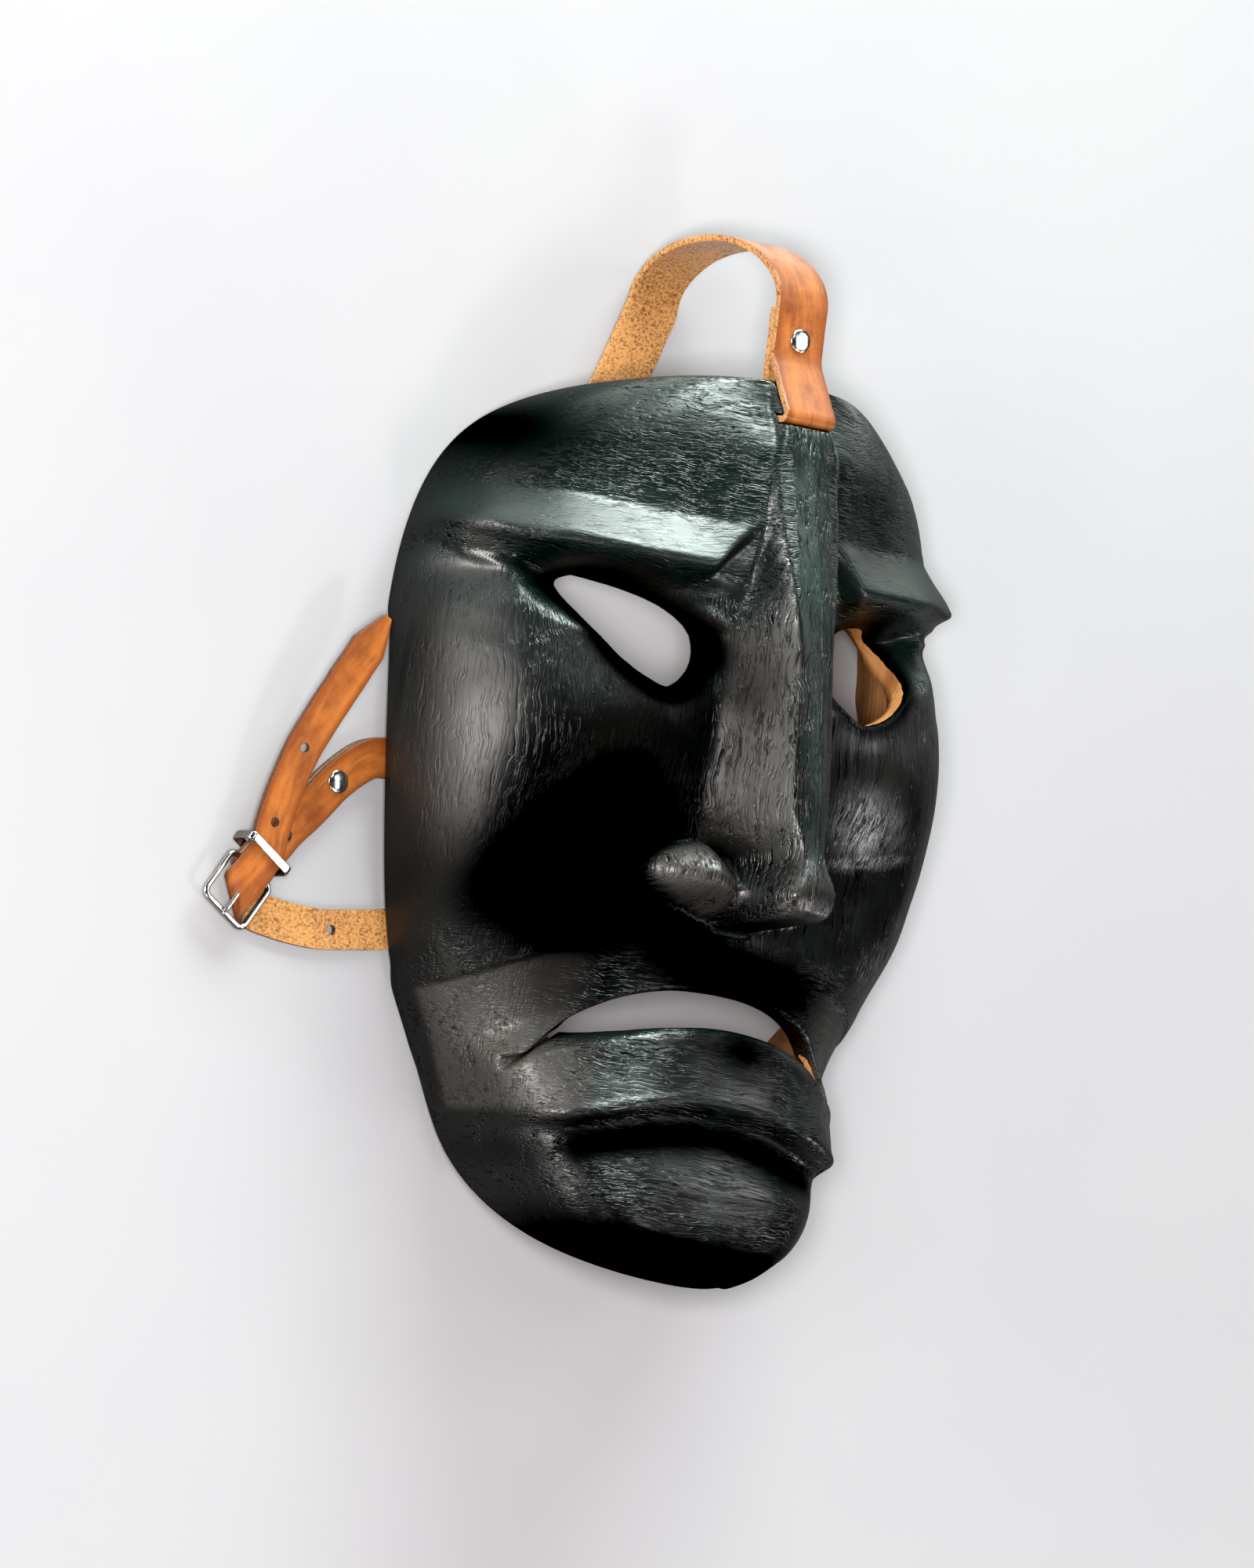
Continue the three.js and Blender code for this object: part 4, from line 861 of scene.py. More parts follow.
def top_stations():
    """From the loop in the forehead over the edge, down in an arch and back along the floor to the tie"""
    crest = float(profile(CREST, TOP_SLOT_Y + 1.8))
    slide = math.atan2(crest - (TOP_EDGE_Z + 2), 152 - TOP_SLOT_Y - 1.8)
    up_run = crest - BACK_Z - UNDER_R
    crest_top = BACK_Z + UNDER_R + up_run + CREST_R * math.cos(slide)
    drop = (crest_top - FRONT_Z - EASE_R * (1 - math.cos(slide))) / math.sin(slide)
    loop = bent_path((TOP_END, BACK_Z), 180, [
        ("run", TOP_END - TOP_SLOT_Y - UNDER_R, 0),
        ("bend", UNDER_R, -90),
        ("run", up_run, 0),
        ("bend", CREST_R, -90 - math.degrees(slide)),
        ("run", drop, 0),
        ("bend", EASE_R, math.degrees(slide)),
    ])
    places = [np.array((0, h, z)) for h, z, _ in loop]
    start = TOP_ROUTE.at(0)
    for y in np.arange(places[-1][1] + 1.2, start[1] - 0.5, 1.2):
        places.append(np.array((0, y, FRONT_Z)))
    middle = (FRONT_Z + LOW) / 2
    for k in range(84):
        turn = math.pi * k / 84
        places.append(np.array((start[0] * ease(0, 1, k / 84), start[1] + ARCH_OUT * math.sin(turn),
                                middle + (FRONT_Z - middle) * math.cos(turn))))
    tie = TOP_ROUTE.length
    floor = [(h, LOW, 0) for h in np.arange(0, tie - 0.5, 1.4)]
    floor += bent_path((tie, LOW), 0, [("bend", HOOK_R, 180), ("run", 2 * TIE_HALF - 1, 0)])
    for k in np.arange(0.25, 6.1, 0.25):
        level = float(LOW + 2 * HOOK_R - HOOK_R * ease(0, 3, k))
        floor.append((tie - 2 * TIE_HALF + 1 - 4.8 * k, level, 180))
    laid = laid_out(floor, TOP_ROUTE)
    rows = []
    for i, at in enumerate(places):
        after = places[i + 1] if i + 1 < len(places) else laid[1][0]
        along = after - places[max(0, i - 1)]
        along /= np.linalg.norm(along)
        across = np.array((1.0, 0, 0)) - along * along[0]
        rows.append((at, across / np.linalg.norm(across)))
    return rows + laid


class Strip:
    """A flat strap: places along it, the direction across, and its half width at each place"""

    def __init__(self, rows, half):
        self.at = np.array([r[0] for r in rows])
        self.across = np.array([r[1] for r in rows])
        self.half = np.array([half * (r[2] if len(r) > 2 else 1) for r in rows])
        steps = np.linalg.norm(np.diff(self.at, axis=0), axis=1)
        self.run = np.concatenate([[0], np.cumsum(steps)])

    def points(self, s, t):
        at = np.stack([np.interp(s, self.run, self.at[:, k]) for k in range(3)], -1)
        across = np.stack([np.interp(s, self.run, self.across[:, k]) for k in range(3)], -1)
        return at + across * (t * np.interp(s, self.run, self.half))[:, None]

    def nearest(self, place):
        return float(self.run[np.linalg.norm(self.at - place, axis=1).argmin()])


def strap_mesh(strip, holes, rows, seed):
    """A grid laid on the strap's middle, with round punched holes and slightly uneven edges"""
    columns = len(strip.run)
    bm = bmesh.new()
    uv = bm.loops.layers.uv.new("UVMap")
    worn = bm.verts.layers.float.new("edge")
    verts = bmesh.ops.create_grid(bm, x_segments=columns - 1, y_segments=rows, size=1)["verts"]
    flat = coords(verts)
    column = np.round((flat[:, 0] + 1) / 2 * (columns - 1)).astype(int)
    row = np.round((flat[:, 1] + 1) / 2 * rows).astype(int)
    s, t = strip.run[column], flat[:, 1].copy()
    doomed = set()
    for place_at, radius in holes:
        centre = strip.nearest(place_at)
        c, r = np.abs(strip.run - centre).argmin(), rows // 2
        centre = strip.run[c]
        block = (np.abs(column - c) <= 2) & (np.abs(row - r) <= 2)
        for i in np.nonzero(block)[0]:
            ring = max(abs(column[i] - c), abs(row[i] - r))
            if ring < 2:
                doomed.add(verts[i])
                continue
            turn = math.atan2(row[i] - r, column[i] - c)
            s[i] = centre + radius * math.cos(turn)
            t[i] = radius * math.sin(turn) / strip.half[c]
    points = strip.points(s, t)
    edge = np.abs(flat[:, 1]) > 0.999
    wobble = 0.18 * np.array([noise.noise(Vector((x / 9, seed, k))) for x, k in zip(s, flat[:, 1])])
    points += strip.across[column] * (np.where(edge, np.sign(flat[:, 1]) * wobble, 0))[:, None]
    place(verts, points)
    number = {v: k for k, v in enumerate(verts)}
    for v in verts:
        v[worn] = abs(flat[number[v], 1])
    for f in bm.faces:
        for loop in f.loops:
            i = number[loop.vert]
            loop[uv].uv = (s[i] * MM, t[i] * strip.half[column[i]] * MM)
    bmesh.ops.delete(bm, geom=list(doomed), context="VERTS")
    return bm


# ---------------------------------------------------------------- metal

def basis(x_axis, y_axis, z_axis, at):
    """A matrix from three directions and a place"""
    m = Matrix.Identity(4)
    for k, column in enumerate((x_axis, y_axis, z_axis, at)):
        m.col[k][:3] = column
    return m


def spin_z(bm, geom, turn, steps, centre):
    """Spins geometry about an upright axis, joined up after a whole turn; gives the last copy"""
    return bmesh.ops.spin(bm, geom=geom, cent=centre, axis=(0, 0, 1), dvec=(0, 0, 0), angle=turn,
                          steps=steps, use_merge=turn == ROUND)["geom_last"]


def wire_loop(bm, section, half_x, low, high, corner, steps):
    """Carries a section round a rounded oblong in the xy plane and closes it on itself"""
    edges = section
    straight = 2 * (half_x - corner)
    tall = high - low - 2 * corner
    corners = [(half_x - corner, low + corner), (half_x - corner, high - corner),
               (corner - half_x, high - corner), (corner - half_x, low + corner)]
    runs = [(straight, 0), (0, tall), (-straight, 0), (0, -tall)]
    for (x, y), (dx, dy) in zip(corners, runs):
        edges, verts = step_out(bm, edges, lambda p: p + np.array((dx, dy, 0)))
        spun = spin_z(bm, edges + verts, ROUND / 4, steps, (x, y, 0))
        edges = [g for g in spun if isinstance(g, bmesh.types.BMEdge)]
    bmesh.ops.remove_doubles(bm, verts=bm.verts[:], dist=1e-3)
    bmesh.ops.recalc_face_normals(bm, faces=bm.faces[:])


def turned(outline, at, axis, steps):
    """A turned piece: an outline of radius and height spun round an axis"""
    bm = bmesh.new()
    line = [bm.verts.new((r, 0, h)) for r, h in outline]
    edges = [bm.edges.new(pair) for pair in zip(line, line[1:])]
    spin_z(bm, line + edges, ROUND, steps, (0, 0, 0))
    bmesh.ops.remove_doubles(bm, verts=bm.verts[:], dist=1e-4)
    turn = Vector((0, 0, 1)).rotation_difference(Vector(axis)).to_matrix().to_4x4()
    bmesh.ops.transform(bm, matrix=Matrix.Translation(Vector(at)) @ turn, verts=bm.verts[:])
    bmesh.ops.recalc_face_normals(bm, faces=bm.faces[:])
    return bm


def rivet_mesh(low, high, head):
    """Cap, shank and washer through two layers whose middles are at low and high"""
    reach = (high - low) / np.linalg.norm(high - low)
    start = low - reach * (LEATHER / 2 + PRESS)
    length = float(np.linalg.norm(high - start)) + LEATHER / 2 + PRESS
    outline = [(0, -0.7), (head * 0.8, -0.7), (head * 0.85, -0.55), (head * 0.85, -0.05), (SHANK, 0),
               (SHANK, length - 0.02), (head - 0.25, length - 0.02), (head, length + 0.12),
               (head, length + 0.32), (head - 0.12, length + 0.5), (head * 0.9, length + 0.66),
               (head * 0.72, length + 0.86), (head * 0.5, length + 1.02), (head * 0.25, length + 1.12),
               (0, length + 1.16)]
    return turned(outline, start, reach, steps=48)


def round_section(bm, segments, radius, matrix, caps=False):
    """A circle to sweep: its points and edges"""
    made_ring = bmesh.ops.create_circle(bm, cap_ends=caps, segments=segments, radius=radius, matrix=matrix)
    ring = made_ring["verts"]
    return ring, list({e for v in ring for e in v.link_edges})


def frame_mesh(wire):
    """The buckle's bent wire frame"""
    bm = bmesh.new()
    reach = FRAME_LONG / 2
    half = FRAME_HALF + BAR
    start = Matrix.Translation((FRAME_CORNER - half, -reach, 0)) @ Matrix.Rotation(math.pi / 2, 4, "Y")
    section = round_section(bm, 20, wire, start)[1]
    wire_loop(bm, section, half, -reach, reach, FRAME_CORNER, 8)
    matrix = basis(heading(AXIS - 90), heading(AXIS), UP, buckle_point(reach, 0, FRAME_Z))
    bmesh.ops.transform(bm, matrix=matrix, verts=bm.verts[:])
    return bm


def keeper_mesh():
    """The flat metal loop that holds the strap's tip down; its section is a rounded oblong"""
    bm = bmesh.new()
    low = left_under(LEFT_ROUTE.length - KEEPER_GAP) - LEATHER / 2 - KEEPER_PLAY - KEEPER_BAR / 2
    high = OVER_Z + LEATHER / 2 + KEEPER_PLAY + KEEPER_BAR / 2
    half = KEEPER_HALF + KEEPER_BAR / 2
    start = Matrix.Translation((KEEPER_CORNER - half, low, 0)) @ Matrix.Rotation(math.pi / 2, 4, "Y")
    ring, section = round_section(bm, 24, 1, start)
    for v in ring:
        y, z = v.co.y - low, v.co.z
        v.co.y = low + math.copysign(abs(y) ** 0.5, y) * KEEPER_BAR / 2
        v.co.z = math.copysign(abs(z) ** 0.5, z) * KEEPER_LONG / 2
    wire_loop(bm, section, half, low, high, KEEPER_CORNER, 8)
    at = buckle_point(KEEPER_AT + KEEPER_LONG / 2, KEEPER_LEFT)
    bmesh.ops.transform(bm, matrix=basis(heading(AXIS + 90), UP, heading(AXIS), at), verts=bm.verts[:])
    return bm


def prong_mesh():
    """A ring round the frame's near bar, and a rod from it to the far bar with a rounded tip"""
    bm = bmesh.new()
    right = heading(AXIS - 90)
    start = Matrix.Translation((PRONG_RING, 0, 0)) @ Matrix.Rotation(math.pi / 2, 4, "X")
    ring, section = round_section(bm, 14, PRONG, start)
    spin_z(bm, ring + section, ROUND, 28, (0, 0, 0))
    bmesh.ops.transform(bm, matrix=basis(heading(AXIS), UP, right, NEAR_BAR + UP * FRAME_Z),
                        verts=bm.verts[:])
    tail = NEAR_BAR + UP * (FRAME_Z + PRONG_RING)
    run = buckle_point(-1.4, 0, FRAME_Z + BAR + GAP + PRONG) - tail
    ahead = run / np.linalg.norm(run)
    rod = basis(right, np.cross(ahead, right), ahead, tail)
    edges = round_section(bm, 14, PRONG * 1.05, rod, True)[1]
    for share, thick, dip in PRONG_ROD:
        centre = tail + run * share - UP * dip

        def narrowed(points, centre=centre, thick=thick):
            offset = points - points.mean(0)
            offset /= np.linalg.norm(offset, axis=1)[:, None]
            return centre + offset * PRONG * thick
        edges = step_out(bm, edges, narrowed)[0]
    bmesh.ops.contextual_create(bm, geom=edges)
    bmesh.ops.recalc_face_normals(bm, faces=bm.faces[:])
    return bm


# ---------------------------------------------------------------- shader building

class Tree:
    """Adds shader nodes and links or sets their sockets"""

    def __init__(self, tree):
        self.tree = tree
        self.count = 0

    def add(self, kind, inputs=None, **settings):
        node = self.tree.nodes.new("ShaderNode" + kind)
        for key, value in settings.items():
            setattr(node, key, value)
        self.fill(node.inputs, inputs or {})
        node.location = (200 * (self.count // 4) - 1400, 260 * (self.count % 4) - 400)
        self.count += 1
        return node

    def feed(self, socket, value):
        if isinstance(value, bpy.types.NodeSocket):
            self.tree.links.new(value, socket)
        elif isinstance(value, Color):
            socket.default_value = (*value, 1)
        else:
            socket.default_value = value

    def fill(self, sockets, values):
        for key, value in values.items():
            self.feed(sockets[key], value)

    def noise(self, vector, scale, detail=3.0, rough=0.55, distort=0.0):
        return self.add("TexNoise", {"Vector": vector, "Scale": scale, "Detail": detail, "Roughness": rough,
                                     "Distortion": distort}).outputs[0]

    def stretched(self, vector, scale, turn=(0, 0, 0)):
        return self.add("Mapping", {"Vector": vector, "Scale": scale, "Rotation": turn}).outputs[0]

    def math(self, operation, a, b):
        return self.add("Math", {0: a, 1: b}, operation=operation).outputs[0]

    def plus(self, a, b):
        return self.math("ADD", a, b)

    def times(self, a, b):
        return self.math("MULTIPLY", a, b)

    def band(self, value, low, high, to_low=0.0, to_high=1.0):
        return self.add("MapRange", {"Value": value, "From Min": low, "From Max": high, "To Min": to_low,
                                     "To Max": to_high}, interpolation_type="SMOOTHSTEP").outputs[0]

    def mix(self, share, a, b):
        return self.add("Mix", {0: share, 2: a, 3: b}, data_type="FLOAT").outputs[0]

    def between(self, share, a, b):
        return self.add("Mix", {0: share, 4: a, 5: b}, data_type="VECTOR").outputs[1]

    def blend(self, share, a, b):
        return self.add("Mix", {0: share, 6: a, 7: b}, data_type="RGBA").outputs[2]

    def bump(self, height, distance, strength):
        inputs = {"Height": height, "Distance": distance, "Strength": strength}
        return self.add("Bump", inputs).outputs[0]

    def place_at(self):
        return self.add("TexCoord").outputs["Object"]

    def mark(self, name):
        return self.add("Attribute", attribute_name=name, attribute_type="GEOMETRY").outputs["Fac"]


SOCKET_KINDS = {"Vector": "Vector", "Light": "Color", "Dark": "Color", "Color": "Color"}


def new_group(name, inputs, outputs):
    """A shader node group with its sockets, and its input and output nodes"""
    tree = bpy.data.node_groups.new(name, "ShaderNodeTree")

    def new_socket(label, way):
        kind = "NodeSocket" + SOCKET_KINDS.get(label, "Float")
        return tree.interface.new_socket(label, in_out=way, socket_type=kind)
    new_socket("Vector", "INPUT")
    for label, default in inputs.items():
        new_socket(label, "INPUT").default_value = default
    for label in outputs:
        new_socket(label, "OUTPUT")
    return Tree(tree), tree.nodes.new("NodeGroupInput").outputs, tree.nodes.new("NodeGroupOutput").inputs


def knife_strokes():
    """Fine grooves that the knife left under the paint: across, down or slanting over the face"""
    t, given, out = new_group("knife_strokes", {"Across": 0.5, "Slant": 0.0, "Calm": 0.0},
                              ("Height", "Groove"))
    place_at = given["Vector"]
    waver = t.add("TexNoise", {"Vector": place_at, "Scale": 60.0, "Detail": 3.0}).outputs[1]
    moved = t.add("MixRGB", {0: 0.006, 1: place_at, 2: waver}, blend_type="ADD").outputs[0]
    cuts = {}
    for name, scale, tilt in (("level", (0.05, 1.3, 0.35), 0.0), ("upright", (1.3, 0.045, 0.4), 0.0),
                              ("slanted", (1.2, 0.05, 0.4), 0.95)):
        lie = t.stretched(moved, scale, (0, 0, tilt))
        wide, thin = t.noise(lie, 800.0, 2.0, 0.5), t.noise(lie, 1700.0, 1.0, 0.4)
        cuts[name] = t.plus(t.band(wide, 0.5, 0.34, 0.0, 0.7), t.band(thin, 0.48, 0.34, 0.0, 0.5))
    chosen = t.mix(given["Across"], cuts["upright"], cuts["level"])
    chosen = t.mix(given["Slant"], chosen, cuts["slanted"])
    depth = t.band(t.noise(t.stretched(place_at, (0.6, 0.8, 1.0)), 150.0, 3.0), 0.36, 0.6, 0.25, 1.0)
    depth = t.times(depth, t.math("SUBTRACT", 1.0, t.times(given["Calm"], 0.85)))
    pits = t.band(t.noise(t.stretched(moved, (0.7, 1.0, 1.0)), 260.0, 4.0, 0.7), 0.67, 0.73)
    fine = t.noise(place_at, 1900.0, 3.0, 0.6)
    groove = t.times(chosen, depth)
    height = t.math("SUBTRACT", t.times(fine, 0.05), groove)
    t.feed(out["Height"], t.math("SUBTRACT", height, t.times(pits, 0.2)))
    t.feed(out["Groove"], groove)
    return t.tree


def wood_grain():
    """Bare carved wood: long grain lines, pores and gouge facets"""
    colours = {"Light": (0.5, 0.26, 0.11, 1), "Dark": (0.2, 0.085, 0.03, 1)}
    t, given, out = new_group("wood_grain", colours, ("Color", "Height", "Roughness"))
    long_way = t.stretched(given["Vector"], (1.0, 0.09, 1.0))
    rings = t.noise(long_way, 95.0, 4.0, 0.6, 0.6)
    lines = t.noise(t.stretched(given["Vector"], (1.0, 0.03, 1.0)), 900.0, 3.0, 0.6)
    tone = t.plus(t.times(rings, 0.7), t.times(lines, 0.35))
    blotch = t.noise(given["Vector"], 26.0, 3.0)
    shade = t.band(t.plus(tone, t.times(blotch, 0.35)), 0.45, 0.92)
    t.feed(out["Color"], t.blend(shade, given["Dark"], given["Light"]))
    t.feed(out["Height"], t.plus(t.times(lines, 0.7), t.times(rings, 0.3)))
    t.feed(out["Roughness"], t.band(lines, 0.2, 0.8, 0.72, 0.5))
    return t.tree


def hide_grain():
    """Smooth side of tanned leather: fine pebbling, soft creases, blotches and darker rubbed edges"""
    takes = {"Edge": 0.0, "Light": (0.62, 0.25, 0.06, 1), "Dark": (0.3, 0.09, 0.02, 1)}
    t, given, out = new_group("hide_grain", takes, ("Color", "Height", "Roughness"))
    pebble = t.add("TexVoronoi", {"Vector": given["Vector"], "Scale": 1500.0, "Randomness": 1.0},
                   feature="SMOOTH_F1").outputs[0]
    fine = t.noise(given["Vector"], 2200.0, 4.0, 0.6)
    crease = t.noise(t.stretched(given["Vector"], (1.0, 0.35, 1.0)), 230.0, 4.0, 0.6, 0.8)
    blotch = t.noise(t.stretched(given["Vector"], (0.6, 1.0, 1.0)), 85.0, 4.0, 0.65)
    streak = t.noise(t.stretched(given["Vector"], (0.12, 1.0, 1.0)), 500.0, 2.0)
    shade = t.plus(t.times(blotch, 0.75), t.times(streak, 0.25))
    shade = t.band(shade, 0.32, 0.66)
    rubbed = t.times(t.band(given["Edge"], 0.55, 0.95), t.band(blotch, 0.3, 0.6, 0.5, 1.0))
    shade = t.times(shade, t.math("SUBTRACT", 1.0, t.times(rubbed, 0.8)))
    t.feed(out["Color"], t.blend(shade, given["Dark"], given["Light"]))
    height = t.plus(t.times(pebble, 0.25), t.times(fine, 0.25))
    t.feed(out["Height"], t.plus(height, t.times(crease, 0.9)))
    t.feed(out["Roughness"], t.band(blotch, 0.3, 0.7, 0.5, 0.34))
    return t.tree


def hide_nap():
    """Flesh side and cut edges of leather: short matted fibres"""
    colours = {"Light": (0.5, 0.27, 0.11, 1), "Dark": (0.14, 0.055, 0.02, 1)}
    t, given, out = new_group("hide_nap", colours, ("Color", "Height"))
    fibres = t.noise(t.stretched(given["Vector"], (0.55, 1.0, 1.0)), 1500.0, 5.0, 0.75, 0.4)
    clumps = t.noise(given["Vector"], 1000.0, 3.0, 0.7)
    blotch = t.noise(given["Vector"], 60.0, 3.0)
    shade = t.plus(t.times(fibres, 0.5), t.times(clumps, 0.5))
    shade = t.plus(shade, t.times(t.math("SUBTRACT", blotch, 0.5), 0.14))
    t.feed(out["Color"], t.blend(t.band(shade, 0.36, 0.56), given["Dark"], given["Light"]))
    t.feed(out["Height"], t.plus(t.times(fibres, 0.5), t.times(clumps, 0.8)))
    return t.tree


def rubbed_metal():
    """Polished plated metal: faint scratches, small dents and dull patches"""
    t, given, out = new_group("rubbed_metal", {}, ("Tone", "Height", "Roughness"))
    scratch = t.noise(t.stretched(given["Vector"], (1.0, 0.06, 0.3)), 3200.0, 2.0)
    dents = t.noise(given["Vector"], 260.0, 2.0)
    dull = t.noise(given["Vector"], 340.0, 4.0, 0.65)
    t.feed(out["Tone"], t.band(dull, 0.35, 0.7))
    t.feed(out["Height"], t.plus(t.times(scratch, 0.3), dents))
    t.feed(out["Roughness"], t.plus(t.band(dull, 0.4, 0.75, 0.1, 0.3), t.times(scratch, 0.06)))
    return t.tree


GROUP_MAKERS = {"knife_strokes": knife_strokes, "wood_grain": wood_grain, "hide_grain": hide_grain,
                "hide_nap": hide_nap, "rubbed_metal": rubbed_metal}


def use_group(t, name, inputs):
    """The outputs of a shared effect, made the first time that it is used"""
    tree = bpy.data.node_groups.get(name) or GROUP_MAKERS[name]()
    node = t.tree.nodes.new("ShaderNodeGroup")
    node.node_tree = tree
    t.fill(node.inputs, inputs)
    return node.outputs


def new_material(name, settings):
    material = bpy.data.materials.new(name)
    material.use_nodes = True
    t = Tree(material.node_tree)
    sockets = material.node_tree.nodes["Principled BSDF"].inputs
    t.fill(sockets, settings)
    return material, t, sockets


def painted_wood(look):
    """Black brushed paint over carved wood, bare in the hollow and deep in the cut edges, with painted green
    and warm sheen and painted shade in patches and in the knife grooves
    """
    material, t, sockets = new_material("brushed_paint", {"IOR": 1.5})
    place_at = t.place_at()
    read = {name: t.mark(name) for name in ("bare", "green_sheen", "warm_sheen", "across", "slant", "calm", "painted_shade")}
    strokes = use_group(t, "knife_strokes", {"Vector": place_at, "Across": read["across"],
                                             "Slant": read["slant"], "Calm": read["calm"]})
    wood = use_group(t, "wood_grain", {"Vector": place_at, "Light": look.bare_wood,
                                       "Dark": look.bare_wood_dark})
    ragged = t.noise(place_at, 320.0, 3.0)
    ragged = t.times(t.math("SUBTRACT", ragged, 0.5), 0.5)
    bare = t.band(t.plus(read["bare"], ragged), 0.46, 0.54)
    coat = t.noise(t.stretched(place_at, (0.5, 0.5, 0.5)), 60.0, 4.0, 0.6)
    # Painted green sheen and painted warm sheen over the black paint
    paint = t.blend(read["green_sheen"], look.paint, look.green_sheen_paint)
    paint = t.blend(read["warm_sheen"], paint, look.warm_sheen_paint)
    lighter = t.blend(t.band(strokes["Groove"], 0.1, 0.5, 0.55, 0.0), paint, look.rubbed_paint)
    paint = t.blend(t.band(coat, 0.4, 0.65), paint, lighter)
    # Painted shade: in the shade patches and in the knife grooves the paint goes darker and loses its shine
    dull = t.math("MAXIMUM", read["painted_shade"], t.times(strokes["Groove"], 0.75))
    paint = t.blend(t.times(dull, 0.9), paint, (0.0005, 0.0005, 0.0005, 1))
    shine = t.band(dull, 0.0, 1.0, look.shine, 0.0)
    t.feed(sockets["Specular IOR Level"], t.mix(bare, shine, 0.4))
    t.feed(sockets["Base Color"], t.blend(bare, paint, wood["Color"]))
    sheen = t.plus(t.band(coat, 0.3, 0.7, 0.29, 0.34), t.times(read["warm_sheen"], 0.1))
    sheen = t.plus(sheen, t.times(read["calm"], 0.09))
    t.feed(sockets["Roughness"], t.mix(bare, sheen, wood["Roughness"]))
    cut = t.bump(strokes["Height"], 0.0004, 0.75)
    grain = t.bump(wood["Height"], 0.0006, 0.6)
    t.feed(sockets["Normal"], t.between(bare, cut, grain))
    return material


def strap_grain(look):
    """Smooth tan side of a strap"""
    material, t, sockets = new_material("strap_grain", {"Specular IOR Level": 0.5, "Coat Weight": 0.12,
                                                       "Coat Roughness": 0.25})
    place_at = t.add("UVMap").outputs[0]
    hide = use_group(t, "hide_grain", {"Vector": place_at, "Edge": t.mark("edge"),
                                       "Light": look.tan, "Dark": look.tan_dark})
    t.feed(sockets["Base Color"], hide["Color"])
    t.feed(sockets["Roughness"], hide["Roughness"])
    t.feed(sockets["Normal"], t.bump(hide["Height"], 0.00035, 0.5))
    return material


def strap_nap(name, light, dark, distance):
    """Rough side or cut edge of a strap"""
    material, t, sockets = new_material(name, {"Specular IOR Level": 0.25, "Sheen Weight": 0.15,
                                              "Roughness": 0.85})
    nap = use_group(t, "hide_nap", {"Vector": t.place_at(), "Light": light, "Dark": dark})
    t.feed(sockets["Base Color"], nap["Color"])
    t.feed(sockets["Normal"], t.bump(nap["Height"], distance, 0.8))
    return material


def plated_metal(look):
    """Polished nickel"""
    material, t, sockets = new_material("plated_metal", {"Metallic": 1.0})
    metal = use_group(t, "rubbed_metal", {"Vector": t.place_at()})
    t.feed(sockets["Base Color"], t.blend(metal["Tone"], look.nickel, look.nickel_dull))
    t.feed(sockets["Roughness"], metal["Roughness"])
    t.feed(sockets["Normal"], t.bump(metal["Height"], 0.00006, 0.5))
    return material


def pale_floor(look):
    """Matt pale studio floor. Glossy paint shows it as a painted darker floor, with painted bright reflection
    cards left of the mask and beyond it
    """
    material, t, sockets = new_material("pale_floor", {"Specular IOR Level": 0.2})
    place_at = t.place_at()
    tone = t.noise(place_at, 6.0, 3.0)
    plain = t.blend(t.band(tone, 0.3, 0.7), look.floor, look.floor_shade)
    # In reflections the floor is painted darker, with bright painted reflection cards left of the mask and
    # beyond its forehead
    glossy = t.add("LightPath").outputs["Is Glossy Ray"]
    spot = t.add("SeparateXYZ", {0: place_at}).outputs
    beside = t.band(spot[0], -0.2, -0.12, 1.0, 0.0)
    reflection_card = t.times(beside, t.band(spot[0], -0.75, -0.3, 0.3, 1.0))
    reflection_card = t.math("MAXIMUM", reflection_card, t.band(spot[1], 0.17, 0.23))
    shown = t.blend(reflection_card, look.floor_gloss, look.floor_reflection_card)
    t.feed(sockets["Base Color"], t.blend(glossy, plain, shown))
    t.feed(sockets["Roughness"], t.band(tone, 0.3, 0.7, 0.7, 0.85))
    return material


def made(kind, maker):
    """The material of that name, made if it isn't there yet"""
    return bpy.data.materials.get(kind) or maker()


# ---------------------------------------------------------------- finishing a piece

def finish_piece(bm, name, materials, smooth=True):
    """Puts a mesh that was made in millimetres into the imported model's frame and hands it over"""
    bmesh.ops.transform(bm, matrix=Matrix.Translation(ROW_SHIFT) @ Matrix.Scale(MM, 4), verts=bm.verts[:])
    mesh = bpy.data.meshes.new(name)
    bm.to_mesh(mesh)
    bm.free()
    for material in materials:
        mesh.materials.append(material)
    mesh.polygons.foreach_set("use_smooth", [smooth] * len(mesh.polygons))
    piece = bpy.data.objects.new(name, mesh)
    bpy.context.scene.collection.objects.link(piece)
    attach(piece, "root")
    return piece


def slot_cutter():
    """The three slots that the straps go through, as closed boxes"""
    bm = bmesh.new()
    for side in (-1, 1):
        h, z = SLOT_H - LEAN_IN * SLOT_LIFT, RIM_SIDE_Z + LEAN_UP * SLOT_LIFT
        matrix = (Matrix.Translation((side * (LOOP_START + h), SIDE_Y, z))
                  @ Matrix.Rotation(-side * SIDE_SLOT_LEAN, 4, "Y")
                  @ Matrix.Diagonal((SLOT_GAP, SIDE_WIDTH + SLOT_PLAY, SLOT_LONG, 1)))
        bmesh.ops.create_cube(bm, size=1, matrix=matrix)
    matrix = (Matrix.Translation((0, TOP_SLOT_Y, TOP_SLOT_AT))
              @ Matrix.Diagonal((TOP_WIDTH + TOP_SLOT_PLAY, SLOT_GAP, TOP_SLOT_LONG, 1)))
    bmesh.ops.create_cube(bm, size=1, matrix=matrix)
    return bm


def read_points(mesh, name):
    values = np.zeros(len(mesh.vertices) * 3)
    mesh.vertices.foreach_get(name, values)
    return values.reshape(-1, 3)


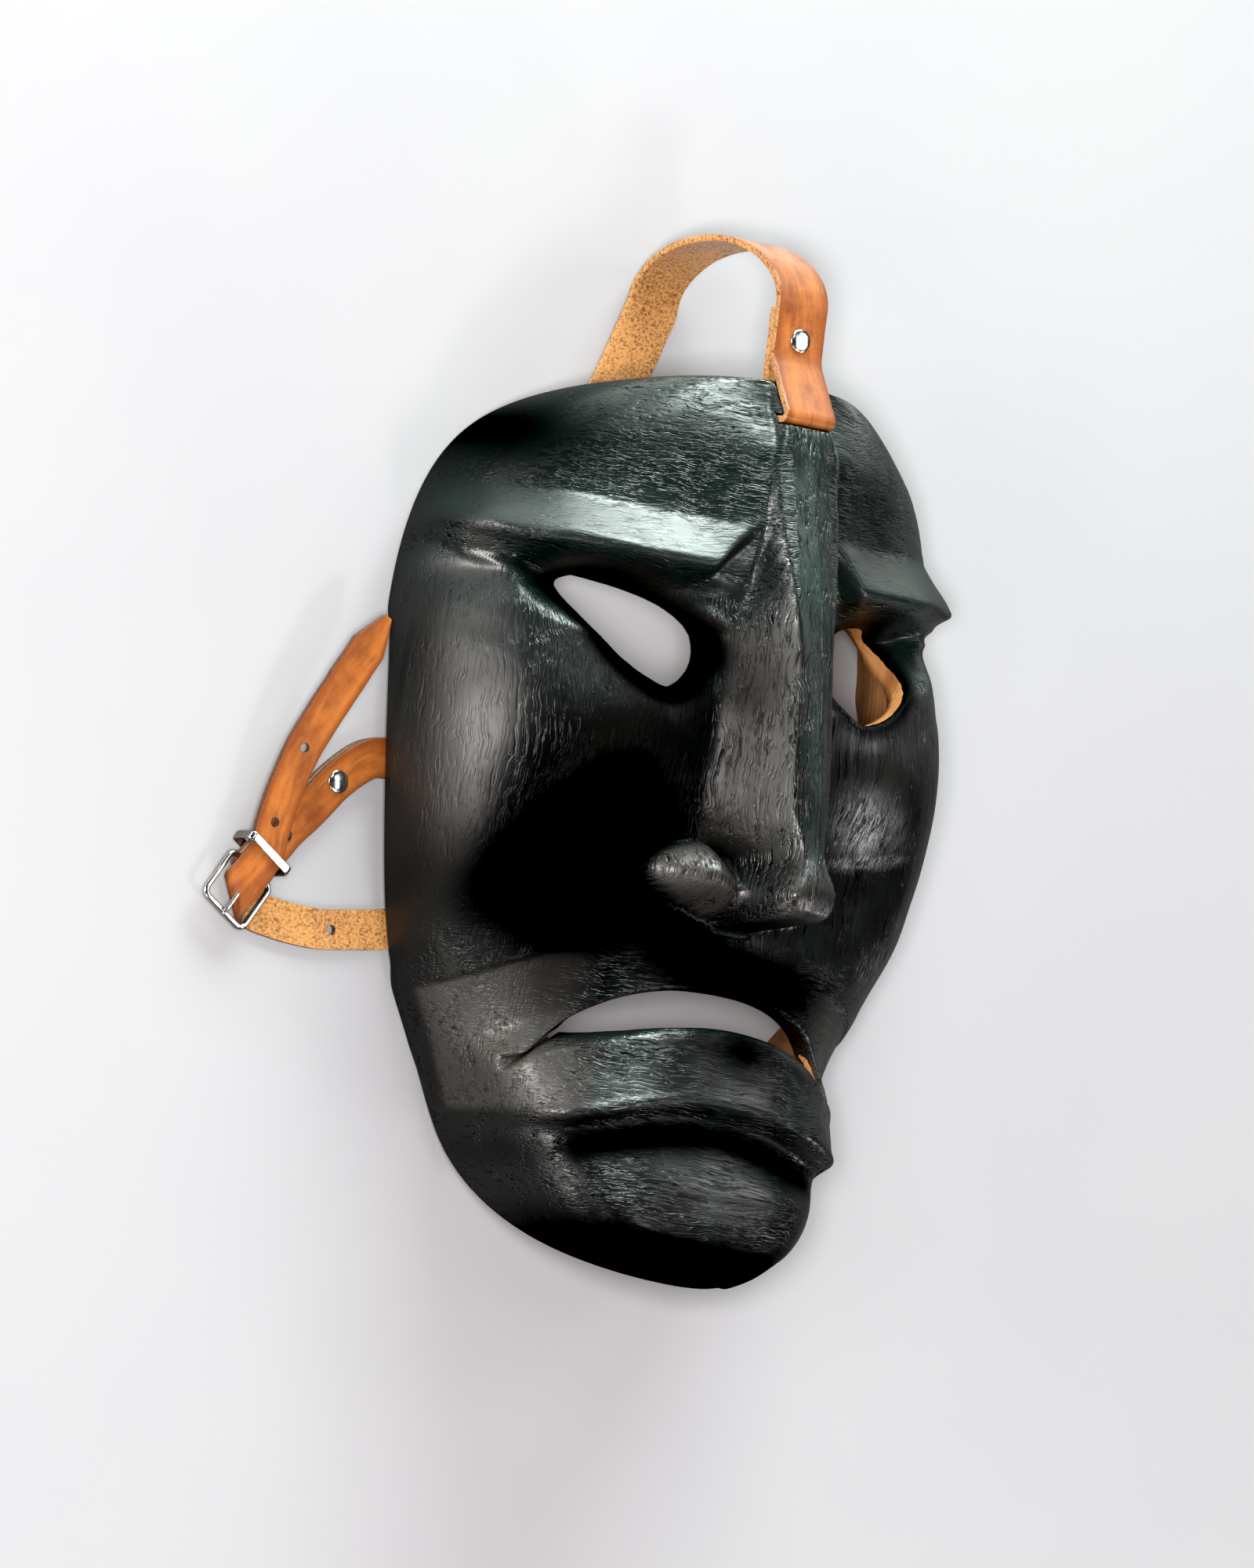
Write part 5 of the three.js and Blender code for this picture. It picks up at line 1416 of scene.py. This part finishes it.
def paint_zones(mesh):
    """Marks on the shell's points: the paint's colour and shine, with painted green and warm sheen and
    painted shade, and which way the knife went
    """
    points = (read_points(mesh, "co") - np.array(ROW_SHIFT)) / MM
    normals = read_points(mesh, "normal")
    x, y, a = points[:, 0], points[:, 1], np.abs(points[:, 0])

    # Painted green sheen: greenish paint on faces turned towards the forehead, on the forehead and along the
    # middle
    forehead = ease(60, 90, y) * ease(-0.2, 0.4, normals[:, 2])
    green_sheen = 0.85 * ease(0.05, 0.75, normals[:, 1]) + 0.5 * forehead + 0.3 * ease(6, 2, a)
    green_sheen = np.clip(green_sheen, 0, 1)

    # Painted warm sheen: lighter brown paint on the nose, the lids, the pads beside the mouth, the cheeks and
    # the side walls, where soft light falls; on the side walls it is a painted highlight band
    nose = ease(7, 9.5, a) * (1 - ease(17, 21, a)) * ease(-8, 0, y) * (1 - ease(60, 72, y))
    alar = ease(0, 0.25, alar_share(a, y)) * ease(9, 14, a)
    tip = (1 - ease(6.5, 8, a)) * ease(-29, -26, y) * (1 - ease(-14, -6, y))
    lid_line = lid_crest(a, y)
    lid = ease(-5, -1, lid_line) * (1 - ease(2, 4, lid_line)) * ease(16, 24, a) * (1 - ease(66, 76, a))
    pad = ease(-1, 2, mouth_pad(a, y)) * ease(-1, 3, y - lip_foot(a) - 3) * ease(42, 56, a)
    pad *= ease(12, 17, points[:, 2])
    cheek = bell(a - 52, 15) * bell(y - 22, 18)
    wall = ease(84, 92, a) * bell(y + 10, 50)
    warm_sheen = 0.8 * nose + 0.9 * alar + 0.6 * tip + 0.7 * lid + pad + 0.5 * cheek + 0.5 * wall
    warm_sheen = np.clip(warm_sheen, 0, 1)

    # Slanting strokes under the eyes
    slant = bell(a - 66, 18) * bell(y - 46, 12) * ease(49, 54, a)

    # Painted shade: darker paint with less shine in its patches, under the lip, under the chin and round the
    # eye holes
    painted_shade = sum(amount * bell(x - at_x, wide) * bell(y - at_y, tall)
               for at_x, at_y, wide, tall, amount in SHADE_PATCHES)
    painted_shade += bell(y - lip_foot(a) + 9, 8) * (1 - ease(40, 75, a))
    painted_shade += ease(-118, -138, y) * ease(0.3, -0.4, normals[:, 1])
    painted_shade *= 1 - ease(0, 0.2, alar_share(a, y))
    for eye in OPENINGS[:2]:
        near = np.nonzero((np.abs(points[:, :2] - eye.centre) < 34).all(1) & (points[:, 2] > 30))[0]
        painted_shade[near] += 0.8 * (1 - ease(1, 9, eye.nearest(points[near])[0]))
    # Stored marks: painted green sheen, lessened under the painted warm sheen, painted shade and the knife's
    # ways
    marks = {"green_sheen": green_sheen * (1 - 0.7 * warm_sheen), "warm_sheen": warm_sheen, "across": stroke_level(points),
             "slant": slant, "calm": calm_share(x, y), "painted_shade": np.clip(painted_shade, 0, 1)}
    for name, values in marks.items():
        attribute = mesh.attributes.new(name, "FLOAT", "POINT")
        attribute.data.foreach_set("value", values.astype(np.float32))


def dress_strap(piece, look):
    """Gives the flat strap its thickness and softened edges"""
    thick = piece.modifiers.new("thickness", "SOLIDIFY")
    thick.thickness = look.leather
    thick.offset = 0
    thick.use_even_offset = False
    thick.material_offset = 1
    thick.material_offset_rim = 2
    soft = piece.modifiers.new("soft_edges", "BEVEL")
    soft.width = look.edge_round
    soft.segments = 2
    soft.limit_method = "ANGLE"
    soft.angle_limit = math.radians(50)


def strap_materials(look, edge):
    """Grain side, flesh side and cut edge"""
    cut = {"dark": (look.edge_dark, look.edge_darkest), "pale": (look.nap_light, look.edge_dark)}[edge]
    return [made("strap_grain", lambda: strap_grain(look)),
            made("strap_flesh", lambda: strap_nap("strap_flesh", look.nap_light, look.nap_dark, 0.00035)),
            made("strap_edge_" + edge, lambda: strap_nap("strap_edge_" + edge, *cut, 0.0003))]


# ---------------------------------------------------------------- settings

def size(name, text, default, low, high):
    """A length setting"""
    return FloatProperty(name=name, description=text, default=default, min=low, max=high, unit="LENGTH",
                         subtype="DISTANCE", precision=4)


def colour(name, text, default):
    """A colour setting"""
    return FloatVectorProperty(name=name, description=text, default=default, size=3, min=0, max=1,
                               subtype="COLOR")


def share(name, text, default, high=1e6):
    """A plain number from 0"""
    return FloatProperty(name=name, description=text, default=default, min=0, max=high)


def angle(name, text, degrees):
    """An angle setting"""
    return FloatProperty(name=name, description=text, default=math.radians(degrees), subtype="ANGLE")


def cells(name, text, default, low, high):
    """A number of grid cells"""
    return IntProperty(name=name, description=text, default=default, min=low, max=high)


class MaskShellSettings(bpy.types.PropertyGroup):
    front_cells: cells("Front cells", "Grid cells across the front", 268, 60, 290)
    hollow_cells: cells("Hollow cells", "Grid cells across the hollow", 116, 30, 140)
    knife_depth: size("Knife depth", "How deep the knife marks are", 0.00014, 0, 0.001)
    shine: share("Shine", "How much the glossiest paint reflects", 1.0, 1)
    paint: colour("Paint", "Black paint", (0.0015, 0.0018, 0.002))
    # Painted green sheen where the paint faces the forehead
    green_sheen_paint: colour("Cool paint", "Paint where it looks green", (0.006, 0.017, 0.014))
    # Painted warm sheen: lighter brown paint where soft light falls
    warm_sheen_paint: colour("Warm paint", "Paint where it looks brown", (0.032, 0.028, 0.025))
    rubbed_paint: colour("Rubbed paint", "Paint rubbed thin on the high lines", (0.006, 0.0075, 0.0075))
    bare_wood: colour("Bare wood", "Light grain of the bare wood", (0.62, 0.32, 0.13))
    bare_wood_dark: colour("Bare wood, dark", "Dark grain of the bare wood", (0.34, 0.14, 0.05))


class MaskStrapSettings(bpy.types.PropertyGroup):
    leather: size("Leather", "Thickness of the leather", LEATHER * MM, 0.001, 0.004)
    edge_round: size("Edge rounding", "How far the cut edges are rounded", 0.00035, 0, 0.001)
    tan: colour("Tan", "Light places of the smooth side", (0.32, 0.115, 0.028))
    tan_dark: colour("Dark tan", "Dark places of the smooth side", (0.15, 0.041, 0.009))
    nap_light: colour("Nap", "Light fibres of the rough side", (0.42, 0.225, 0.085))
    nap_dark: colour("Dark nap", "Dark fibres of the rough side", (0.13, 0.05, 0.018))
    edge_dark: colour("Cut edge", "Light fibres of the cut edge", (0.09, 0.032, 0.014))
    edge_darkest: colour("Dark cut edge", "Dark fibres of the cut edge", (0.02, 0.008, 0.005))


class MaskMetalSettings(bpy.types.PropertyGroup):
    wire: size("Wire", "Radius of the buckle's wire", BAR * MM, 0.0005, 0.002)
    nickel: colour("Nickel", "Polished metal", (0.82, 0.81, 0.79))
    nickel_dull: colour("Dull nickel", "Metal in its dull patches", (0.6, 0.59, 0.57))


class MaskStageSettings(bpy.types.PropertyGroup):
    floor: colour("Floor", "Floor colour", (0.306, 0.297, 0.303))
    floor_shade: colour("Floor shade", "Second floor colour", (0.298, 0.289, 0.297))
    # The floor as glossy paint shows it: a painted darker floor and painted bright reflection cards
    floor_gloss: colour("Floor in gloss", "Floor colour as glossy paint shows it", (0.1, 0.097, 0.094))
    floor_reflection_card: colour("Floor card", "The same left of the mask and beyond its forehead", (0.85, 0.82, 0.79))
    room: share("Room light", "Light from all round", 0.35)
    room_gloss: share("Room gloss", "How bright the room looks in gloss", 0.05)
    distance: size("Camera distance", "From the mask to the camera", 8, 1, 20)
    turn: angle("Turn", "How far the camera goes round to the left", 35)
    drop: angle("Drop", "How far the camera goes towards the chin", 5.7)
    roll: angle("Roll", "How far the picture is turned", 7)


# ---------------------------------------------------------------- operators

class MASK_OT_shell(bpy.types.Operator):
    """Carve the wooden shell with its holes and slots, and paint it"""
    bl_idname = "mask.shell"
    bl_label = "Carved shell"

    def execute(self, context):
        settings = context.scene.mask_shell_settings
        materials = [made("brushed_paint", lambda: painted_wood(settings))]
        shell = finish_piece(carved_shell(settings), "carved_shell", materials)
        cutter = finish_piece(slot_cutter(), "slot_cutter", materials, False)
        cut = shell.modifiers.new("slots", "BOOLEAN")
        cut.operation = "DIFFERENCE"
        cut.solver = "EXACT"
        cut.object = cutter
        context.view_layer.update()
        evaluated = shell.evaluated_get(context.evaluated_depsgraph_get())
        mesh = bpy.data.meshes.new_from_object(evaluated)
        shell.modifiers.clear()
        shell.data = mesh
        bpy.data.objects.remove(cutter)
        if len(mesh.polygons) < FEWEST_FACES:
            raise RuntimeError("the slots could not be cut from the shell")
        paint_zones(mesh)
        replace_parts(shell, "mask_shell")
        return {"FINISHED"}


class MASK_OT_top_strap(bpy.types.Operator):
    """Lay the strap that goes over the forehead edge and back under the mask"""
    bl_idname = "mask.top_strap"
    bl_label = "Top strap"

    def execute(self, context):
        look = context.scene.mask_strap_settings
        bm = strap_mesh(Strip(top_stations(), TOP_WIDTH / 2), [], rows=18, seed=3)
        bmesh.ops.reverse_faces(bm, faces=bm.faces[:])
        piece = finish_piece(bm, "top_strap", strap_materials(look, "pale"))
        dress_strap(piece, look)
        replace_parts(piece, "strap_top")
        return {"FINISHED"}


class MASK_OT_side_straps(bpy.types.Operator):
    """Lay the left strap round the buckle and the right strap through it"""
    bl_idname = "mask.side_straps"
    bl_label = "Side straps"

    def execute(self, context):
        look = context.scene.mask_strap_settings
        materials = strap_materials(look, "dark")
        left = strap_mesh(Strip(left_stations(), SIDE_WIDTH / 2), [], rows=14, seed=11)
        left = finish_piece(left, "left_strap", materials)
        dress_strap(left, look)
        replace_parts(left, "strap_left")
        holes = [(TIP_ROUTE.at(h, tip_height(h)), HOLE)
                 for h in (BEYOND_KEEPER, BEYOND_KEEPER + HOLE_PITCH)]
        low = CROSSING.length - LOW_HOLE_BACK
        holes.append((CROSSING.at(low, cross_height(low)), HOLE))
        right = strap_mesh(Strip(right_stations(), SIDE_WIDTH / 2), holes, rows=16, seed=23)
        right = finish_piece(right, "right_strap", materials)
        dress_strap(right, look)
        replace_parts(right, "strap_right")
        return {"FINISHED"}


class MASK_OT_buckle(bpy.types.Operator):
    """Bend the buckle's frame, prong and keeper"""
    bl_idname = "mask.buckle"
    bl_label = "Buckle"

    def execute(self, context):
        look = context.scene.mask_metal_settings
        metal = [made("plated_metal", lambda: plated_metal(look))]
        bm = frame_mesh(look.wire / MM)
        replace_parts(finish_piece(bm, "wire_frame", metal), "buckle_frame")
        bm = keeper_mesh()
        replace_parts(finish_piece(bm, "band_keeper", metal), "buckle_keeper")
        bm = prong_mesh()
        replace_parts(finish_piece(bm, "prong", metal), "buckle_tongue")
        return {"FINISHED"}


class MASK_OT_rivets(bpy.types.Operator):
    """Set the five rivets"""
    bl_idname = "mask.rivets"
    bl_label = "Rivets"

    def execute(self, context):
        look = context.scene.mask_metal_settings
        metal = [made("plated_metal", lambda: plated_metal(look))]
        back = LEFT_ROUTE.length - BUCKLE_RIVET_BACK
        slope = float(left_rise(back + 0.5) - left_rise(back - 0.5))
        under = LEFT_ROUTE.at(back, left_rise(back) - LAYER) + LEFT_ROUTE.along(back) * slope * LAYER
        rear = TOP_ROUTE.length - 2 * TIE_HALF - REAR_RIVET
        places = [
            ("left", LEFT_ROUTE.at(LEFT_RIVET, LOW), LEFT_ROUTE.at(LEFT_RIVET, HIGH), RIVET_HEAD),
            ("right", np.array((LOOP_START + RIGHT_RIVET, SIDE_Y, LOW)),
             np.array((LOOP_START + RIGHT_RIVET, SIDE_Y, HIGH)), RIVET_HEAD),
            ("top", np.array((0, RIVET_TOP_Y, BACK_Z)), np.array((0, RIVET_TOP_Y, FRONT_Z)), RIVET_HEAD),
            ("rear", TOP_ROUTE.at(rear, LOW), TOP_ROUTE.at(rear, HIGH), RIVET_HEAD),
            ("buckle", under, LEFT_ROUTE.at(back, left_rise(back)), BUCKLE_RIVET_HEAD),
        ]
        for name, low, high, head in places:
            piece = finish_piece(rivet_mesh(low, high, head), name + "_rivet", metal)
            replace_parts(piece, "rivet_" + name)
        return {"FINISHED"}


class MASK_OT_stage(bpy.types.Operator):
    """Set up the floor, the soft lights and the camera"""
    bl_idname = "mask.stage"
    bl_label = "Stage"

    def execute(self, context):
        scene = context.scene
        look = scene.mask_stage_settings
        bm = bmesh.new()
        bmesh.ops.create_grid(bm, x_segments=8, y_segments=8, size=6)
        mesh = bpy.data.meshes.new("floor")
        bm.to_mesh(mesh)
        bm.free()
        mesh.materials.append(made("pale_floor", lambda: pale_floor(look)))
        floor = bpy.data.objects.new("floor", mesh)
        scene.collection.objects.link(floor)

        world = bpy.data.worlds.new("soft_room")
        scene.world = world
        world.use_nodes = True
        t = Tree(world.node_tree)
        background = world.node_tree.nodes["Background"]
        background.inputs["Color"].default_value = (0.93, 0.95, 1.0, 1)
        glossy = t.add("LightPath").outputs["Is Glossy Ray"]
        t.feed(background.inputs["Strength"], t.mix(glossy, look.room, look.room_gloss))

        # The last light falls on the metal only
        metal_pieces = bpy.data.collections.new("metal_pieces")
        for piece in scene.objects:
            if piece.type == "MESH" and any(m and m.name == "plated_metal" for m in piece.data.materials):
                metal_pieces.objects.link(piece)

        # Name, place, width and height, power, tint, and whether gloss shows it
        lights = [("head_softbox", (0.1, 1.5, 0.75), 1.3, 0.75, 60, (0.91, 1.0, 0.965), True),
                  ("high_softbox", (-0.3, 0.75, 1.6), 0.7, 0.5, 2.2, (0.8, 1.0, 0.92), True),
                  ("left_softbox", (-1.7, -0.05, 0.32), 0.65, 0.4, 24, (1.0, 0.96, 0.93), True),
                  ("front_softbox", (-0.85, -1.25, 0.9), 0.6, 0.4, 4, (1.0, 0.97, 0.95), True),
                  ("right_softbox", (1.35, -1.0, 0.65), 0.5, 0.4, 8, (0.97, 0.98, 1.0), True),
                  ("nose_softbox", (0.4, -0.95, 1.45), 0.4, 0.3, 8.5, (1.0, 0.98, 0.96), True),
                  ("chin_softbox", (1.05, 0.6, 1.15), 0.4, 0.3, 3, (1.0, 0.98, 0.96), True),
                  ("through_fill", (-1.7, -0.32, 2.5), 0.5, 0.5, 140, (1.0, 1.0, 1.0), False),
                  ("metal_softbox", (1.05, 0.15, 1.5), 1.2, 1.2, 14, (1.0, 1.0, 1.0), True)]
        for name, at, wide, tall, power, tint, in_gloss in lights:
            data = bpy.data.lights.new(name, "AREA")
            data.shape = "RECTANGLE"
            data.size, data.size_y = wide, tall
            data.energy = power
            data.color = tint
            light = bpy.data.objects.new(name, data)
            light.location = at
            light.rotation_euler = (LIT_PLACE - Vector(at)).to_track_quat("-Z", "Y").to_euler()
            light.visible_glossy = in_gloss
            if name == "metal_softbox":
                light.light_linking.receiver_collection = metal_pieces
            scene.collection.objects.link(light)

        # The camera looks down on the mask from the photograph's side
        turn, drop, roll = look.turn, look.drop, look.roll
        right = Vector((math.cos(turn), 0, math.sin(turn)))
        level = Vector((-math.sin(turn), 0, math.cos(turn)))
        upward = level * math.sin(drop) + Vector((0, math.cos(drop), 0))
        back = level * math.cos(drop) - Vector((0, math.sin(drop), 0))
        across = right * math.cos(roll) + upward * math.sin(roll)
        up = upward * math.cos(roll) - right * math.sin(roll)
        aim = ROW_SHIFT + Vector((0, 0, AIM_Z)) + across * AIM_ACROSS + up * AIM_UP
        data = bpy.data.cameras.new("camera")
        data.sensor_fit = "VERTICAL"
        data.sensor_height = SENSOR
        data.sensor_width = SENSOR
        data.lens = LENS_PER_METRE * look.distance
        data.clip_end = 50
        camera = bpy.data.objects.new("camera", data)
        camera.matrix_world = basis(across, up, back, aim + back * look.distance)
        scene.collection.objects.link(camera)
        scene.camera = camera
        scene.view_settings.view_transform = "Standard"
        scene.view_settings.gamma = 0.85
        scene.view_settings.use_curve_mapping = True
        tone = scene.view_settings.curve_mapping
        tone.black_level = (0.006, 0.006, 0.006)
        tone.update()
        return {"FINISHED"}


class MASK_PT_parts(bpy.types.Panel):
    """The mask's pieces"""
    bl_label = "Carved mask"
    bl_idname = "MASK_PT_parts"
    bl_space_type = "VIEW_3D"
    bl_region_type = "UI"
    bl_category = "Mask"

    def draw(self, context):
        for operator in OPERATORS:
            self.layout.operator(operator.bl_idname)


SETTINGS = {"mask_shell_settings": MaskShellSettings, "mask_strap_settings": MaskStrapSettings,
            "mask_metal_settings": MaskMetalSettings, "mask_stage_settings": MaskStageSettings}
OPERATORS = [MASK_OT_shell, MASK_OT_top_strap, MASK_OT_side_straps, MASK_OT_buckle, MASK_OT_rivets,
             MASK_OT_stage]


def register():
    for cls in (*SETTINGS.values(), *OPERATORS, MASK_PT_parts):
        bpy.utils.register_class(cls)
    for name, cls in SETTINGS.items():
        setattr(bpy.types.Scene, name, PointerProperty(type=cls))


def unregister():
    for name in SETTINGS:
        delattr(bpy.types.Scene, name)
    for cls in (MASK_PT_parts, *reversed(OPERATORS), *SETTINGS.values()):
        bpy.utils.unregister_class(cls)


def main():
    register()
    for operator in OPERATORS:
        getattr(bpy.ops.mask, operator.bl_idname.split(".")[1])()


if __name__ == "__main__":
    main()
